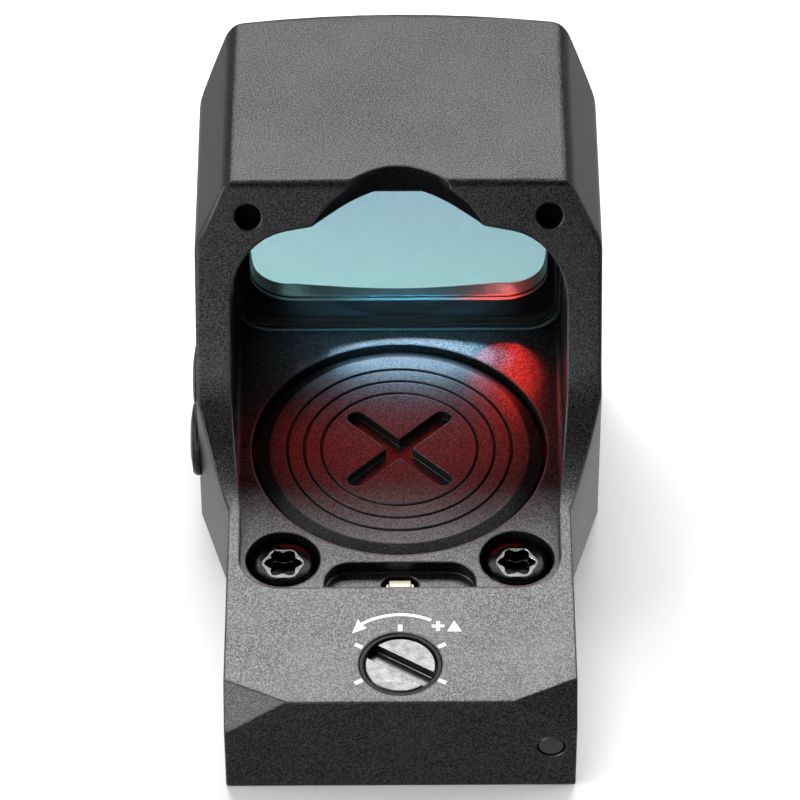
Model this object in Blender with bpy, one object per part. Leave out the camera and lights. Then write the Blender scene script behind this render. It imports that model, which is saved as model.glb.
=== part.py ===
"""Compact open reflex sight, used as a red dot finder: housing, lens, battery, adjusters and controls.

The frame is in metres, with +Z up and +Y along the line of sight, away from the eye.
The origin lies on the underside, at the middle of the sight's length and width.
Run it with blender --background --python part.py, or from the text editor.
"""
import math

import bmesh
import bpy
from mathutils import Matrix, Vector

MM = 0.001
GAP = 0.1 * MM
BEYOND = 3.0 * MM

# Housing envelope
REAR_Y = -28.0 * MM
BASE_HALF_WIDTH = 12.95 * MM
HOOD_HALF_WIDTH = 15.45 * MM
FLARE_START_Y = -8.6 * MM
FLARE_END_Y = -0.12 * MM
DECK_Z = 9.3 * MM
DECK_SWEEP_RADIUS = 12.2 * MM
HOOD_TOP_Z = 27.4 * MM
HOOD_TOP_REAR_Y = 8.3 * MM
HOOD_TOP_FRONT_Y = 27.87 * MM
HOOD_CHAMFER_Z = 23.2 * MM
HOOD_FLAT_HALF_WIDTH = 13.0 * MM
REAR_LEAN = math.tan(math.radians(29.7))
FRONT_LEAN = math.tan(math.radians(31.1))
NOSE_TOP_Z = 11.5 * MM
FRONT_BOW = 1.07 * MM
FRONT_CORNER_SET_BACK = 1.3 * MM
HOOD_TOP_RADIUS = 1.4 * MM
HOOD_SIDE_RADIUS = 2.0 * MM
HOOD_REAR_RADIUS = 0.9 * MM
ROUND_REAR_Z = 26.65 * MM
HOOD_EDGE_RADIUS = 0.3 * MM
REAR_FACET_CORNERS = ((12.95, -25.66, 9.3), (8.1, -28.0, 9.3), (12.95, -28.0, 5.85))

# Pocket, window tunnel and lens seat
POCKET_FLOOR_Z = 7.0 * MM
POCKET_REAR_Y = -16.54 * MM
POCKET_HALF_WIDTH = 12.05 * MM
POCKET_CORNER_RADIUS = 3.2 * MM
TUNNEL_HALF_WIDTH = 12.8 * MM
TUNNEL_CROWN_Z = 24.65 * MM
TUNNEL_CROWN_HALF_WIDTH = 5.0 * MM
TUNNEL_CROWN_RADIUS = 12.0 * MM
TUNNEL_SHOULDER_Z = 23.4 * MM
TUNNEL_SHOULDER_RADIUS = 5.0 * MM
TUNNEL_FLOOR_RADIUS = 0.6 * MM
FRONT_OPENING_HALF_WIDTH = 11.6 * MM
FRONT_OPENING_TOP_Z = 23.5 * MM
FRONT_OPENING_SILL_Z = 9.4 * MM
FRONT_OPENING_TOP_RADIUS = 4.3 * MM
FRONT_OPENING_SILL_RADIUS = 3.4 * MM
SILL_HALF_LENGTH = FRONT_OPENING_HALF_WIDTH - FRONT_OPENING_SILL_RADIUS
SILL_DIP_START_Y = 16.4 * MM
SILL_DIP_LENGTH = 3.0 * MM
SILL_DIP_SLOPE = 0.52
LENS_BOTTOM_Y = 13.15 * MM
LENS_LEAN = math.tan(math.radians(8.5))
REAR_ELEMENT_THICKNESS = 1.4 * MM
FRONT_ELEMENT_THICKNESS = 1.5 * MM
LENS_GASKET_THICKNESS = 0.3 * MM
LENS_EDGE_GAP = 0.3 * MM

# Scallop in the hood's rear edge
NOTCH_CENTRE_Z = 21.45 * MM
NOTCH_RADIUS = 7.39 * MM
NOTCH_UPRIGHT_SHARE = 0.845
NOTCH_TOP_FRONT_Y = 10.08 * MM
NOTCH_LOW_FRONT_Y = 10.37 * MM
NOTCH_LOW_Z = 24.0 * MM
NOTCH_BELL_Z = 24.6 * MM
NOTCH_LOW_SWELL = 0.1
NOTCH_LOW_FLOW = 0.3

# Sockets in the hood's rear face
HOOD_SOCKET_X = 11.4 * MM
HOOD_SOCKET_Z = 25.06 * MM
HOOD_SOCKET_RADIUS = 1.05 * MM
HOOD_SOCKET_DEPTH = 1.6 * MM

# Battery well and cap
CAP_Y = 0.3 * MM
CAP_TOP_Z = 6.85 * MM
CAP_RADIUS = 11.0 * MM
CAP_FLAT_RADIUS = 10.06 * MM
CAP_EDGE_Z = 6.45 * MM
CAP_FLANGE_UNDERSIDE_Z = 5.75 * MM
CAP_SKIRT_RADIUS = 10.7 * MM
CAP_SKIRT_BORE_RADIUS = 10.2 * MM
CAP_SKIRT_END_Z = 4.0 * MM
CAP_INNER_Z = 5.4 * MM
CAP_GROOVE_RADII = (8.68 * MM, 7.37 * MM, 6.04 * MM)
CAP_GROOVE_WIDTH = 0.26 * MM
CAP_GROOVE_DEPTH = 0.25 * MM
CAP_SLOT_REACH = 5.4 * MM
CAP_SLOT_WIDTH = 1.45 * MM
CAP_SLOT_DEPTH = 0.85 * MM
RECESS_RADIUS = 11.4 * MM
RECESS_LEDGE_Z = 5.1 * MM
THREAD_RADIUS = 10.85 * MM
THREAD_END_Z = 3.6 * MM
WELL_RADIUS = 10.35 * MM
WELL_FLOOR_Z = 1.5 * MM
BATTERY_RADIUS = 10.0 * MM
BATTERY_LOW_Z = 2.1 * MM
BATTERY_HIGH_Z = 5.3 * MM

# Mounting screws
MOUNT_X = 8.83 * MM
MOUNT_Y = -11.5 * MM
MOUNT_HOLE_RADIUS = 1.7 * MM
MOUNT_COUNTERBORE_RADIUS = 2.84 * MM
MOUNT_COUNTERBORE_Z = 4.6 * MM
MOUNT_SHANK_RADIUS = 1.5 * MM
MOUNT_HEAD_RADIUS = 2.62 * MM
MOUNT_HEAD_TOP_Z = 6.6 * MM
MOUNT_SHANK_END_Z = 0.3 * MM
TORX_RADIUS = 1.45 * MM
TORX_DEPTH = 1.2 * MM

# Emitter recess, slot and the cavity below the deck
LED_RECESS_HALF_WIDTH = 5.7 * MM
LED_RECESS_FRONT_Y = -11.85 * MM
LED_RECESS_FLOOR_Z = 5.86 * MM
LED_SLOT_Y = -13.5 * MM
LED_SLOT_HALF_LENGTH = 1.43 * MM
LED_SLOT_HALF_DEPTH = 1.25 * MM
LED_SLOT_RADIUS = 0.9 * MM
CAVITY_HALF_WIDTH = 8.2 * MM
CAVITY_REAR_Y = -26.4 * MM
CAVITY_STEP_Y = -17.0 * MM
CAVITY_FRONT_Y = -11.9 * MM
CAVITY_ROOF_Z = 6.6 * MM
ARM_CAVITY_HALF_WIDTH = 5.2 * MM
ARM_CAVITY_ROOF_Z = 5.3 * MM

# Underside
PLATE_HALF_WIDTH = 11.4 * MM
PLATE_REAR_Y = -26.9 * MM
PLATE_FRONT_Y = 15.4 * MM
PLATE_CORNER_RADIUS = 3.0 * MM
PLATE_RECESS_Z = 1.0 * MM
PLATE_THICKNESS = 0.65 * MM
PLATE_GASKET_THICKNESS = 0.2 * MM
PLATE_SCREW_PLACES = ((-9.9, -24.4), (9.9, -24.4), (-9.3, 13.2), (9.3, 13.2))
PLATE_SCREW_RADIUS = 0.6 * MM
PLATE_SCREW_HEAD_RADIUS = 1.15 * MM
PLATE_SCREW_TOP_Z = 3.8 * MM

# Elevation adjuster
ELEVATION_Y = -24.19 * MM
ELEVATION_BORE_RADIUS = 3.08 * MM
ELEVATION_BORE_Z = 7.4 * MM
ELEVATION_HEAD_RADIUS = 2.62 * MM
ELEVATION_SHAFT_RADIUS = 1.0 * MM
ELEVATION_SHAFT_END_Z = 1.8 * MM
ADJUSTER_SLOT_WIDTH = 1.5 * MM
ADJUSTER_SLOT_DEPTH = 0.8 * MM
ELEVATION_SLOT_ANGLE = math.radians(-33)

# Windage adjuster
WINDAGE_Y = -21.5 * MM
WINDAGE_Z = 4.4 * MM
WINDAGE_BORE_RADIUS = 2.2 * MM
WINDAGE_BORE_X = 11.3 * MM
WINDAGE_HEAD_RADIUS = 2.05 * MM
WINDAGE_SHAFT_RADIUS = 0.75 * MM
WINDAGE_SHAFT_END_X = 2.9 * MM

# Side buttons
BUTTON_PLACES = {"brightness_up_button": 8.6 * MM, "brightness_down_button": 2.15 * MM}
BUTTON_Z = 6.2 * MM
BUTTON_RADIUS = 2.87 * MM
BUTTON_BORE_RADIUS = 3.0 * MM
BUTTON_BORE_X = -13.6 * MM
BUTTON_INNER_X = -14.75 * MM
BUTTON_RIM_X = -15.95 * MM
BUTTON_CROWN_X = -16.2 * MM

# Round plug in the rear face
PLUG_X = 11.06 * MM
PLUG_Z = 4.35 * MM
PLUG_RADIUS = 1.0 * MM
PLUG_DEPTH = 1.5 * MM


def clear_scene():
    for obj in list(bpy.data.objects):
        bpy.data.objects.remove(obj, do_unlink=True)


def make_material(name, colour, metallic, roughness):
    """A Principled material with a plain colour."""
    surface = bpy.data.materials.new(name)
    surface.use_nodes = True
    shader = surface.node_tree.nodes["Principled BSDF"]
    shader.inputs["Base Color"].default_value = (*colour, 1.0)
    shader.inputs["Metallic"].default_value = metallic
    shader.inputs["Roughness"].default_value = roughness
    return surface


MATERIALS = {
    "black_anodised": ((0.035, 0.036, 0.038), 0.6, 0.5),
    "black_steel": ((0.02, 0.02, 0.022), 0.8, 0.25),
    "bright_steel": ((0.62, 0.62, 0.62), 1.0, 0.3),
    "spring_steel": ((0.45, 0.45, 0.46), 1.0, 0.35),
    "brass": ((0.65, 0.48, 0.2), 1.0, 0.35),
    "nickel": ((0.6, 0.58, 0.53), 1.0, 0.3),
    "coated_glass": ((0.55, 0.85, 0.86), 0.0, 0.03),
    "black_rubber": ((0.012, 0.012, 0.013), 0.0, 0.7),
    "black_plastic": ((0.02, 0.02, 0.022), 0.0, 0.5),
    "circuit_board": ((0.02, 0.16, 0.06), 0.0, 0.45),
    "amber_film": ((0.55, 0.25, 0.04), 0.0, 0.4),
    "cream_ceramic": ((0.85, 0.8, 0.6), 0.0, 0.4),
}


def place(axis, u, v, along):
    """The point at (u, v) of an outline that is extruded along a world axis."""
    points = {"X": (along, u, v), "Y": (u, along, v), "Z": (u, v, along)}
    return points[axis]


def new_object(name, vertices, faces):
    """Link a closed mesh with its faces pointing out."""
    mesh = bpy.data.meshes.new(name)
    mesh.from_pydata(vertices, [], faces)
    shape = bmesh.new()
    shape.from_mesh(mesh)
    bmesh.ops.remove_doubles(shape, verts=shape.verts, dist=1e-7)
    bmesh.ops.recalc_face_normals(shape, faces=shape.faces)
    shape.to_mesh(mesh)
    shape.free()
    obj = bpy.data.objects.new(name, mesh)
    bpy.context.scene.collection.objects.link(obj)
    return obj


def loft(name, loops, closed=False):
    """A solid through loops of equally many points; closed joins the last loop to the first."""
    count = len(loops[0])
    vertices = [point for loop in loops for point in loop]
    faces = []
    for ring in range(len(loops) if closed else len(loops) - 1):
        low = ring * count
        high = (ring + 1) % len(loops) * count
        for index in range(count):
            after = (index + 1) % count
            faces.append((low + index, low + after, high + after, high + index))
    if not closed:
        faces.append(tuple(range(count)))
        faces.append(tuple(range(len(vertices) - count, len(vertices))))
    return new_object(name, vertices, faces)


def prism(name, outline, axis, low, high):
    """An outline extruded between two heights along a world axis."""
    return loft(name, [[place(axis, u, v, along) for u, v in outline] for along in (low, high)])


def turned(name, profile, centre, axis="Z", segments=32):
    """A closed profile of (radius, height) turned about an axis through centre."""
    meridians = []
    for step in range(segments):
        angle = 2 * math.pi * step / segments
        meridians.append(
            [place(axis, r * math.cos(angle), r * math.sin(angle), h) for r, h in profile]
        )
    obj = loft(name, meridians, closed=True)
    obj.data.transform(Matrix.Translation(centre))
    return obj


def rounded(corners, step=math.radians(10)):
    """An outline from corners (u, v, radius), with an arc at each corner that has a radius."""
    outline = []
    for index, (u, v, radius) in enumerate(corners):
        corner = Vector((u, v))
        if radius == 0:
            outline.append((u, v))
            continue
        back = (Vector(corners[index - 1][:2]) - corner).normalized()
        ahead = (Vector(corners[(index + 1) % len(corners)][:2]) - corner).normalized()
        half = back.angle(ahead) / 2
        centre = corner + (back + ahead).normalized() * radius / math.sin(half)
        start = corner + back * radius / math.tan(half) - centre
        turn = math.pi - 2 * half
        turn *= math.copysign(1, back.x * ahead.y - back.y * ahead.x) * -1
        count = max(1, math.ceil(abs(turn) / step))
        for part in range(count + 1):
            angle = turn * part / count
            outline.append(
                (
                    centre.x + start.x * math.cos(angle) - start.y * math.sin(angle),
                    centre.y + start.x * math.sin(angle) + start.y * math.cos(angle),
                )
            )
    return outline


def mirrored(half):
    """The corners of a shape symmetric about u = 0, from those of its left half."""
    return list(half) + [(-u, *rest) for u, *rest in reversed(half)]


def box_outline(half_width, low, high, radius=0.0):
    """A rectangle symmetric about u = 0, with rounded corners."""
    return rounded(mirrored([(-half_width, low, radius), (-half_width, high, radius)]))


def circle(radius, centre=(0.0, 0.0), count=32):
    """A polygon round a circle's centre."""
    angles = [2 * math.pi * step / count for step in range(count)]
    return [(centre[0] + radius * math.cos(a), centre[1] + radius * math.sin(a)) for a in angles]


def stadium(half_length, radius, centre):
    """A slot along u with round ends; half_length reaches to the end of the slot."""
    straight = half_length - radius
    ends = mirrored([(-straight - radius, -radius, radius), (-straight - radius, radius, radius)])
    return [(u + centre[0], v + centre[1]) for u, v in rounded(ends, math.radians(20))]


def apply_modifiers(obj):
    evaluated = obj.evaluated_get(bpy.context.evaluated_depsgraph_get())
    baked = bpy.data.meshes.new_from_object(evaluated)
    obj.modifiers.clear()
    obj.data = baked


def combine(target, tool, operation):
    """Apply one exact Boolean and remove its tool."""
    modifier = target.modifiers.new("shape", "BOOLEAN")
    modifier.operation = operation
    modifier.object = tool
    modifier.solver = "EXACT"
    apply_modifiers(target)
    bpy.data.objects.remove(tool, do_unlink=True)


def cut(target, *tools):
    for tool in tools:
        combine(target, tool, "DIFFERENCE")
    return target


def trim(target, *tools):
    for tool in tools:
        combine(target, tool, "INTERSECT")
    return target


def unite(target, *tools):
    for tool in tools:
        combine(target, tool, "UNION")
    return target


def finish(obj, surface, smooth_angle=35):
    """Give a finished sub-part its material and shading."""
    obj.data.materials.clear()
    obj.data.materials.append(surface)
    obj.data.shade_smooth()
    obj.data.set_sharp_from_angle(angle=math.radians(smooth_angle))
    return obj


def move_origin(obj, point):
    """Put an object's origin on its joint axis without moving its shape."""
    obj.data.transform(Matrix.Translation(-Vector(point)))
    obj.location = point


# Housing


def bow(x):
    """How far the front face stands back at x from its middle."""
    flat = HOOD_FLAT_HALF_WIDTH
    corner = max(0.0, abs(x) - flat) / (HOOD_HALF_WIDTH - flat)
    return FRONT_BOW * (x / flat) ** 2 + FRONT_CORNER_SET_BACK * corner**2


def bowed_block():
    """The bowed front, upright at the nose and leaning above it, with the flat underside."""
    reach = HOOD_HALF_WIDTH + 1.0 * MM
    flat = HOOD_FLAT_HALF_WIDTH
    half = [0.92 * flat * step / 4 for step in range(1, 5)]
    half += [flat + (HOOD_HALF_WIDTH - flat) * step / 4 for step in range(1, 5)] + [reach]
    columns = [-x for x in reversed(half)] + [0.0] + half
    nose_y = HOOD_TOP_FRONT_Y - (HOOD_TOP_Z - NOSE_TOP_Z) * FRONT_LEAN
    beyond_z = HOOD_TOP_Z + BEYOND
    beyond_y = HOOD_TOP_FRONT_Y + BEYOND * FRONT_LEAN
    loops = []
    for z, front_y in ((0.0, nose_y), (NOSE_TOP_Z, nose_y), (beyond_z, beyond_y)):
        loop = [(x, front_y - bow(x), z) for x in columns]
        loop += [(reach, REAR_Y - BEYOND, z), (-reach, REAR_Y - BEYOND, z)]
        loops.append(loop)
    return loft("housing", loops)


def side_profile():
    """Deck, concave sweep and leaning rear face, extruded across the width."""
    # A hair above the hood's flat top, so that two faces never lie in one plane
    top_z = HOOD_TOP_Z + 0.003 * MM
    beyond_y = HOOD_TOP_FRONT_Y + BEYOND
    sweep_y = HOOD_TOP_REAR_Y - (HOOD_TOP_Z - DECK_Z) * REAR_LEAN
    corners = [
        (REAR_Y, -BEYOND, 0),
        (REAR_Y, DECK_Z, 0),
        (sweep_y, DECK_Z, DECK_SWEEP_RADIUS),
        (HOOD_TOP_REAR_Y, top_z, HOOD_REAR_RADIUS),
        (beyond_y, top_z, 0),
        (beyond_y, -BEYOND, 0),
    ]
    outline = rounded(corners, math.radians(5.1))
    return prism("side_profile", outline, "X", -HOOD_HALF_WIDTH - BEYOND, HOOD_HALF_WIDTH + BEYOND)


def plan_profile():
    """The base width, flaring out to the hood's width."""
    beyond_y = HOOD_TOP_FRONT_Y + BEYOND
    wide = HOOD_HALF_WIDTH + BEYOND
    slope = (FLARE_END_Y - FLARE_START_Y) / (HOOD_HALF_WIDTH - BASE_HALF_WIDTH)
    half = [
        (-wide, beyond_y),
        (-wide, FLARE_END_Y + BEYOND * slope),
        (-BASE_HALF_WIDTH, FLARE_START_Y),
        (-BASE_HALF_WIDTH, REAR_Y - 2 * BEYOND),
    ]
    return prism("plan_profile", mirrored(half), "Z", -BEYOND, HOOD_TOP_Z + BEYOND)


def section_profile():
    """The hood's flat top, sloping shoulders and upright sides, along the sight line."""
    half = [
        (-HOOD_HALF_WIDTH, -BEYOND, 0),
        (-HOOD_HALF_WIDTH, HOOD_CHAMFER_Z, HOOD_SIDE_RADIUS),
        (-HOOD_FLAT_HALF_WIDTH, HOOD_TOP_Z, HOOD_TOP_RADIUS),
    ]
    outline = rounded(mirrored(half))
    return prism("section_profile", outline, "Y", REAR_Y - BEYOND, 2 * HOOD_TOP_FRONT_Y)


def round_outer_edges(housing):
    """Soft edges on the hood and finer ones on the base; the top rear edge is round already."""
    shape = bmesh.new()
    shape.from_mesh(housing.data)
    layer = shape.edges.layers.float.new("bevel_weight_edge")
    for edge in shape.edges:
        middle = sum((vertex.co for vertex in edge.verts), Vector()) / 2
        already_round = middle.z > ROUND_REAR_Z and middle.y < HOOD_TOP_REAR_Y + 2 * HOOD_REAR_RADIUS
        if edge.calc_face_angle() > math.radians(22) and not already_round:
            rise = (middle.z - DECK_Z) / (HOOD_CHAMFER_Z - DECK_Z)
            edge[layer] = min(1.0, max(0.5, rise + 0.5))
    shape.to_mesh(housing.data)
    shape.free()
    modifier = housing.modifiers.new("edges", "BEVEL")
    modifier.width = HOOD_EDGE_RADIUS
    modifier.segments = 2
    modifier.limit_method = "WEIGHT"
    modifier.use_clamp_overlap = False
    apply_modifiers(housing)


def half_space(point, normal):
    """A block with one face through point, lying on the side that normal points to."""
    size = 20 * MM
    normal = Vector(normal).normalized()
    turn = normal.to_track_quat("Z", "Y").to_matrix().to_4x4()
    block = prism("half_space", box_outline(size, -size, size), "Z", 0.0, size)
    block.data.transform(Matrix.Translation(point) @ turn)
    return block


def rear_facet(side):
    """The sloping flat that takes off one upper rear corner; side is -1 or +1."""
    corners = [Vector((side * x, y, z)) * MM for x, y, z in REAR_FACET_CORNERS]
    normal = (corners[1] - corners[0]).cross(corners[2] - corners[0])
    if normal.z < 0:
        normal.negate()
    return half_space(corners[0], normal)


def lens_plane_y(z, depth):
    """Where a plane parallel to the lens, depth ahead of its rear face, passes height z."""
    along = depth * math.sqrt(1 + LENS_LEAN**2)
    return LENS_BOTTOM_Y + along - (z - POCKET_FLOOR_Z) * LENS_LEAN


def behind_lens_plane(depth):
    """Everything on the eye's side of a plane parallel to the lens."""
    low = -BEYOND
    high = HOOD_TOP_Z + BEYOND
    outline = [
        (REAR_Y, low),
        (REAR_Y, high),
        (lens_plane_y(high, depth), high),
        (lens_plane_y(low, depth), low),
    ]
    return prism("behind_lens", outline, "X", -2 * HOOD_HALF_WIDTH, 2 * HOOD_HALF_WIDTH)


def seat_depth():
    """Depth of the shoulder that the lens and its gasket are set against."""
    return REAR_ELEMENT_THICKNESS + FRONT_ELEMENT_THICKNESS + LENS_GASKET_THICKNESS + 3 * GAP


def tunnel_outline(inset, floor_radius):
    """The window tunnel's section, with its gently crowned roof, or one inset from it."""
    side = -TUNNEL_HALF_WIDTH + inset
    half = [
        (side, POCKET_FLOOR_Z + inset, floor_radius),
        (side, TUNNEL_SHOULDER_Z - inset, TUNNEL_SHOULDER_RADIUS - inset),
        (-TUNNEL_CROWN_HALF_WIDTH, TUNNEL_CROWN_Z - inset, TUNNEL_CROWN_RADIUS),
    ]
    return rounded(mirrored(half))


def tunnel_cutter():
    """The open pocket behind the lens, up to the lens seat."""
    flare = (TUNNEL_HALF_WIDTH - POCKET_HALF_WIDTH) / (FLARE_END_Y - FLARE_START_Y)
    end_y = 2 * HOOD_TOP_FRONT_Y
    end_x = POCKET_HALF_WIDTH + flare * (end_y - FLARE_START_Y)
    plan = rounded(
        mirrored(
            [
                (-end_x, end_y, 0),
                (-POCKET_HALF_WIDTH, FLARE_START_Y, 0),
                (-POCKET_HALF_WIDTH, POCKET_REAR_Y, POCKET_CORNER_RADIUS),
            ]
        )
    )
    outline = tunnel_outline(0.0, TUNNEL_FLOOR_RADIUS)
    tunnel = prism("tunnel", outline, "Y", REAR_Y, HOOD_TOP_FRONT_Y)
    pocket = prism("pocket", plan, "Z", 0.0, HOOD_TOP_Z + BEYOND)
    return trim(tunnel, pocket, behind_lens_plane(seat_depth()))


def front_opening_outline(grow=0.0):
    """The clear window ahead of the lens, with points spaced along its sill."""
    side = -FRONT_OPENING_HALF_WIDTH - grow
    low = FRONT_OPENING_SILL_Z - grow
    half = [
        (side, FRONT_OPENING_TOP_Z + grow, FRONT_OPENING_TOP_RADIUS + grow),
        (side, low, FRONT_OPENING_SILL_RADIUS + grow),
    ]
    sill = [(SILL_HALF_LENGTH * step / 6, low, 0) for step in range(-5, 6)]
    right = [(-u, v, r) for u, v, r in reversed(half)]
    return rounded(half + sill + right)


def front_opening_cutter():
    """The front opening; ahead of the lens seat its sill falls away towards the middle."""
    loops = []
    for ahead in (-SILL_DIP_START_Y, 0.0, SILL_DIP_LENGTH / 3, SILL_DIP_LENGTH * 2 / 3, SILL_DIP_LENGTH):
        fall = max(0.0, ahead) * SILL_DIP_SLOPE
        loop = []
        for x, z in front_opening_outline():
            on_sill = z < FRONT_OPENING_TOP_Z / 2
            share = max(0.0, 1 - (x / SILL_HALF_LENGTH) ** 2) if on_sill else 0.0
            loop.append((x, SILL_DIP_START_Y + ahead, z - fall * share))
        loops.append(loop)
    loops.append([(x, 2 * HOOD_TOP_FRONT_Y, z) for x, _, z in loops[-1]])
    return loft("front_opening", loops)


def notch_section(z):
    """One level of the scallop: an arc at the top, fuller and with softer ends lower down."""
    height = (z - NOTCH_CENTRE_Z) / math.cos(math.atan(REAR_LEAN))
    height = min(height, NOTCH_UPRIGHT_SHARE * NOTCH_RADIUS)
    half_width = math.sqrt(NOTCH_RADIUS**2 - height**2)
    face_y = HOOD_TOP_REAR_Y - (HOOD_TOP_Z - z) * REAR_LEAN - 0.02 * MM
    fall = min(1.0, max(0.0, (HOOD_TOP_Z - z) / (HOOD_TOP_Z - NOTCH_BELL_Z)))
    front_y = NOTCH_TOP_FRONT_Y + (NOTCH_LOW_FRONT_Y - NOTCH_TOP_FRONT_Y) * fall
    points = [(half_width * 1.3, face_y - BEYOND, z), (-half_width * 1.3, face_y - BEYOND, z)]
    for step in range(25):
        t = step / 12 - 1
        arc = 1 - t * t
        bell = 0.5 + 0.5 * math.cos(math.pi * t)
        share = (1 + NOTCH_LOW_SWELL * fall) * (arc + NOTCH_LOW_FLOW * fall * (bell - arc))
        points.append((half_width * t, face_y + (front_y - face_y) * min(1.0, share), z))
    return points


def notch_cutter():
    top_z = HOOD_TOP_Z + 0.4 * MM
    heights = [NOTCH_LOW_Z + (top_z - NOTCH_LOW_Z) * step / 4 for step in range(5)]
    return loft("notch", [notch_section(z) for z in heights])


def hood_socket_cutter(side):
    """A small blind socket square to the hood's rear face."""
    profile = [
        (0, -HOOD_SOCKET_DEPTH),
        (HOOD_SOCKET_RADIUS, -HOOD_SOCKET_DEPTH),
        (HOOD_SOCKET_RADIUS, BEYOND),
        (0, BEYOND),
    ]
    socket = turned("socket", profile, (0, 0, 0), "Z", 20)
    face_y = HOOD_TOP_REAR_Y - (HOOD_TOP_Z - HOOD_SOCKET_Z) * REAR_LEAN
    tilt = Matrix.Rotation(math.pi / 2 - math.atan(REAR_LEAN), 4, "X")
    spot = Matrix.Translation((side * HOOD_SOCKET_X, face_y, HOOD_SOCKET_Z))
    socket.data.transform(spot @ tilt)
    return socket


def battery_well_cutter():
    profile = [
        (0, WELL_FLOOR_Z),
        (WELL_RADIUS, WELL_FLOOR_Z),
        (WELL_RADIUS, THREAD_END_Z),
        (THREAD_RADIUS, THREAD_END_Z),
        (THREAD_RADIUS, RECESS_LEDGE_Z),
        (RECESS_RADIUS, RECESS_LEDGE_Z),
        (RECESS_RADIUS, POCKET_FLOOR_Z + BEYOND),
        (0, POCKET_FLOOR_Z + BEYOND),
    ]
    return turned("well", profile, (0, CAP_Y, 0), "Z", 72)


def stepped_bore(name, centre, axis, steps, segments=28):
    """A round cutter from steps of (radius, start, end) along its axis."""
    profile = [(0, steps[0][1])]
    for radius, start, end in steps:
        profile += [(radius, start), (radius, end)]
    profile.append((0, steps[-1][2]))
    return turned(name, profile, centre, axis, segments)


def mounting_hole_cutter(side):
    steps = [
        (MOUNT_HOLE_RADIUS, -BEYOND, MOUNT_COUNTERBORE_Z),
        (MOUNT_COUNTERBORE_RADIUS, MOUNT_COUNTERBORE_Z, POCKET_FLOOR_Z + BEYOND),
    ]
    return stepped_bore("mount_hole", (side * MOUNT_X, MOUNT_Y, 0), "Z", steps, 32)


def led_recess_cutter():
    half = [
        (-LED_RECESS_HALF_WIDTH, POCKET_REAR_Y + 0.05 * MM, 0),
        (-LED_RECESS_HALF_WIDTH, LED_RECESS_FRONT_Y, 2.0 * MM),
    ]
    top_z = POCKET_FLOOR_Z + 0.5 * MM
    return prism("led_recess", rounded(mirrored(half)), "Z", LED_RECESS_FLOOR_Z, top_z)


def led_slot_cutter():
    low = LED_SLOT_Y - LED_SLOT_HALF_DEPTH
    high = LED_SLOT_Y + LED_SLOT_HALF_DEPTH
    outline = box_outline(LED_SLOT_HALF_LENGTH, low, high, LED_SLOT_RADIUS)
    return prism("led_slot", outline, "Z", ARM_CAVITY_ROOF_Z - GAP, POCKET_FLOOR_Z)


def cavity_cutters():
    """The room for the emitter stages, below the deck and below the emitter recess."""
    main = box_outline(CAVITY_HALF_WIDTH, CAVITY_REAR_Y, CAVITY_STEP_Y, 1.0 * MM)
    arm = box_outline(ARM_CAVITY_HALF_WIDTH, CAVITY_STEP_Y - MM, CAVITY_FRONT_Y, 0.5 * MM)
    low = PLATE_RECESS_Z - 0.5 * MM
    return (
        prism("main_cavity", main, "Z", low, CAVITY_ROOF_Z),
        prism("arm_cavity", arm, "Z", low, ARM_CAVITY_ROOF_Z),
    )


def plate_outline(inset):
    side = -PLATE_HALF_WIDTH + inset
    radius = PLATE_CORNER_RADIUS - inset
    return rounded(
        mirrored([(side, PLATE_REAR_Y + inset, radius), (side, PLATE_FRONT_Y - inset, radius)])
    )


def elevation_bore_cutter():
    steps = [
        (ELEVATION_SHAFT_RADIUS + 0.15 * MM, CAVITY_ROOF_Z - 0.5 * MM, ELEVATION_BORE_Z),
        (ELEVATION_BORE_RADIUS, ELEVATION_BORE_Z, DECK_Z + BEYOND),
    ]
    return stepped_bore("elevation_bore", (0, ELEVATION_Y, 0), "Z", steps, 40)


def windage_bore_cutter():
    steps = [
        (WINDAGE_SHAFT_RADIUS + 0.15 * MM, CAVITY_HALF_WIDTH - 0.5 * MM, WINDAGE_BORE_X),
        (WINDAGE_BORE_RADIUS, WINDAGE_BORE_X, BASE_HALF_WIDTH + BEYOND),
    ]
    return stepped_bore("windage_bore", (0, WINDAGE_Y, WINDAGE_Z), "X", steps)


def button_bore_cutter(y):
    steps = [(BUTTON_BORE_RADIUS, -HOOD_HALF_WIDTH - BEYOND, BUTTON_BORE_X)]
    return stepped_bore("button_bore", (0, y, BUTTON_Z), "X", steps, 32)


def plug_bore_cutter():
    steps = [(PLUG_RADIUS + GAP, REAR_Y - BEYOND, REAR_Y + PLUG_DEPTH + GAP)]
    return stepped_bore("plug_bore", (PLUG_X, 0, PLUG_Z), "Y", steps, 20)


def plate_screw_hole_cutter(x, y):
    steps = [(PLATE_SCREW_RADIUS + GAP, 0.0, PLATE_SCREW_TOP_Z + GAP)]
    return stepped_bore("plate_screw_hole", (x * MM, y * MM, 0), "Z", steps, 12)


def make_housing(surfaces):
    housing = trim(bowed_block(), side_profile(), plan_profile(), section_profile())
    round_outer_edges(housing)
    cut(housing, rear_facet(-1), rear_facet(1))
    cut(housing, tunnel_cutter())
    cut(housing, front_opening_cutter())
    cut(housing, notch_cutter(), hood_socket_cutter(-1), hood_socket_cutter(1))
    cut(housing, battery_well_cutter(), mounting_hole_cutter(-1), mounting_hole_cutter(1))
    cut(housing, led_recess_cutter(), prism("plate", plate_outline(0), "Z", -BEYOND, PLATE_RECESS_Z))
    cut(housing, *cavity_cutters())
    cut(housing, led_slot_cutter(), elevation_bore_cutter(), windage_bore_cutter())
    cut(housing, plug_bore_cutter(), *[button_bore_cutter(y) for y in BUTTON_PLACES.values()])
    cut(housing, *[plate_screw_hole_cutter(x, y) for x, y in PLATE_SCREW_PLACES])
    finish(housing, surfaces["black_anodised"])


# Lens


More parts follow.
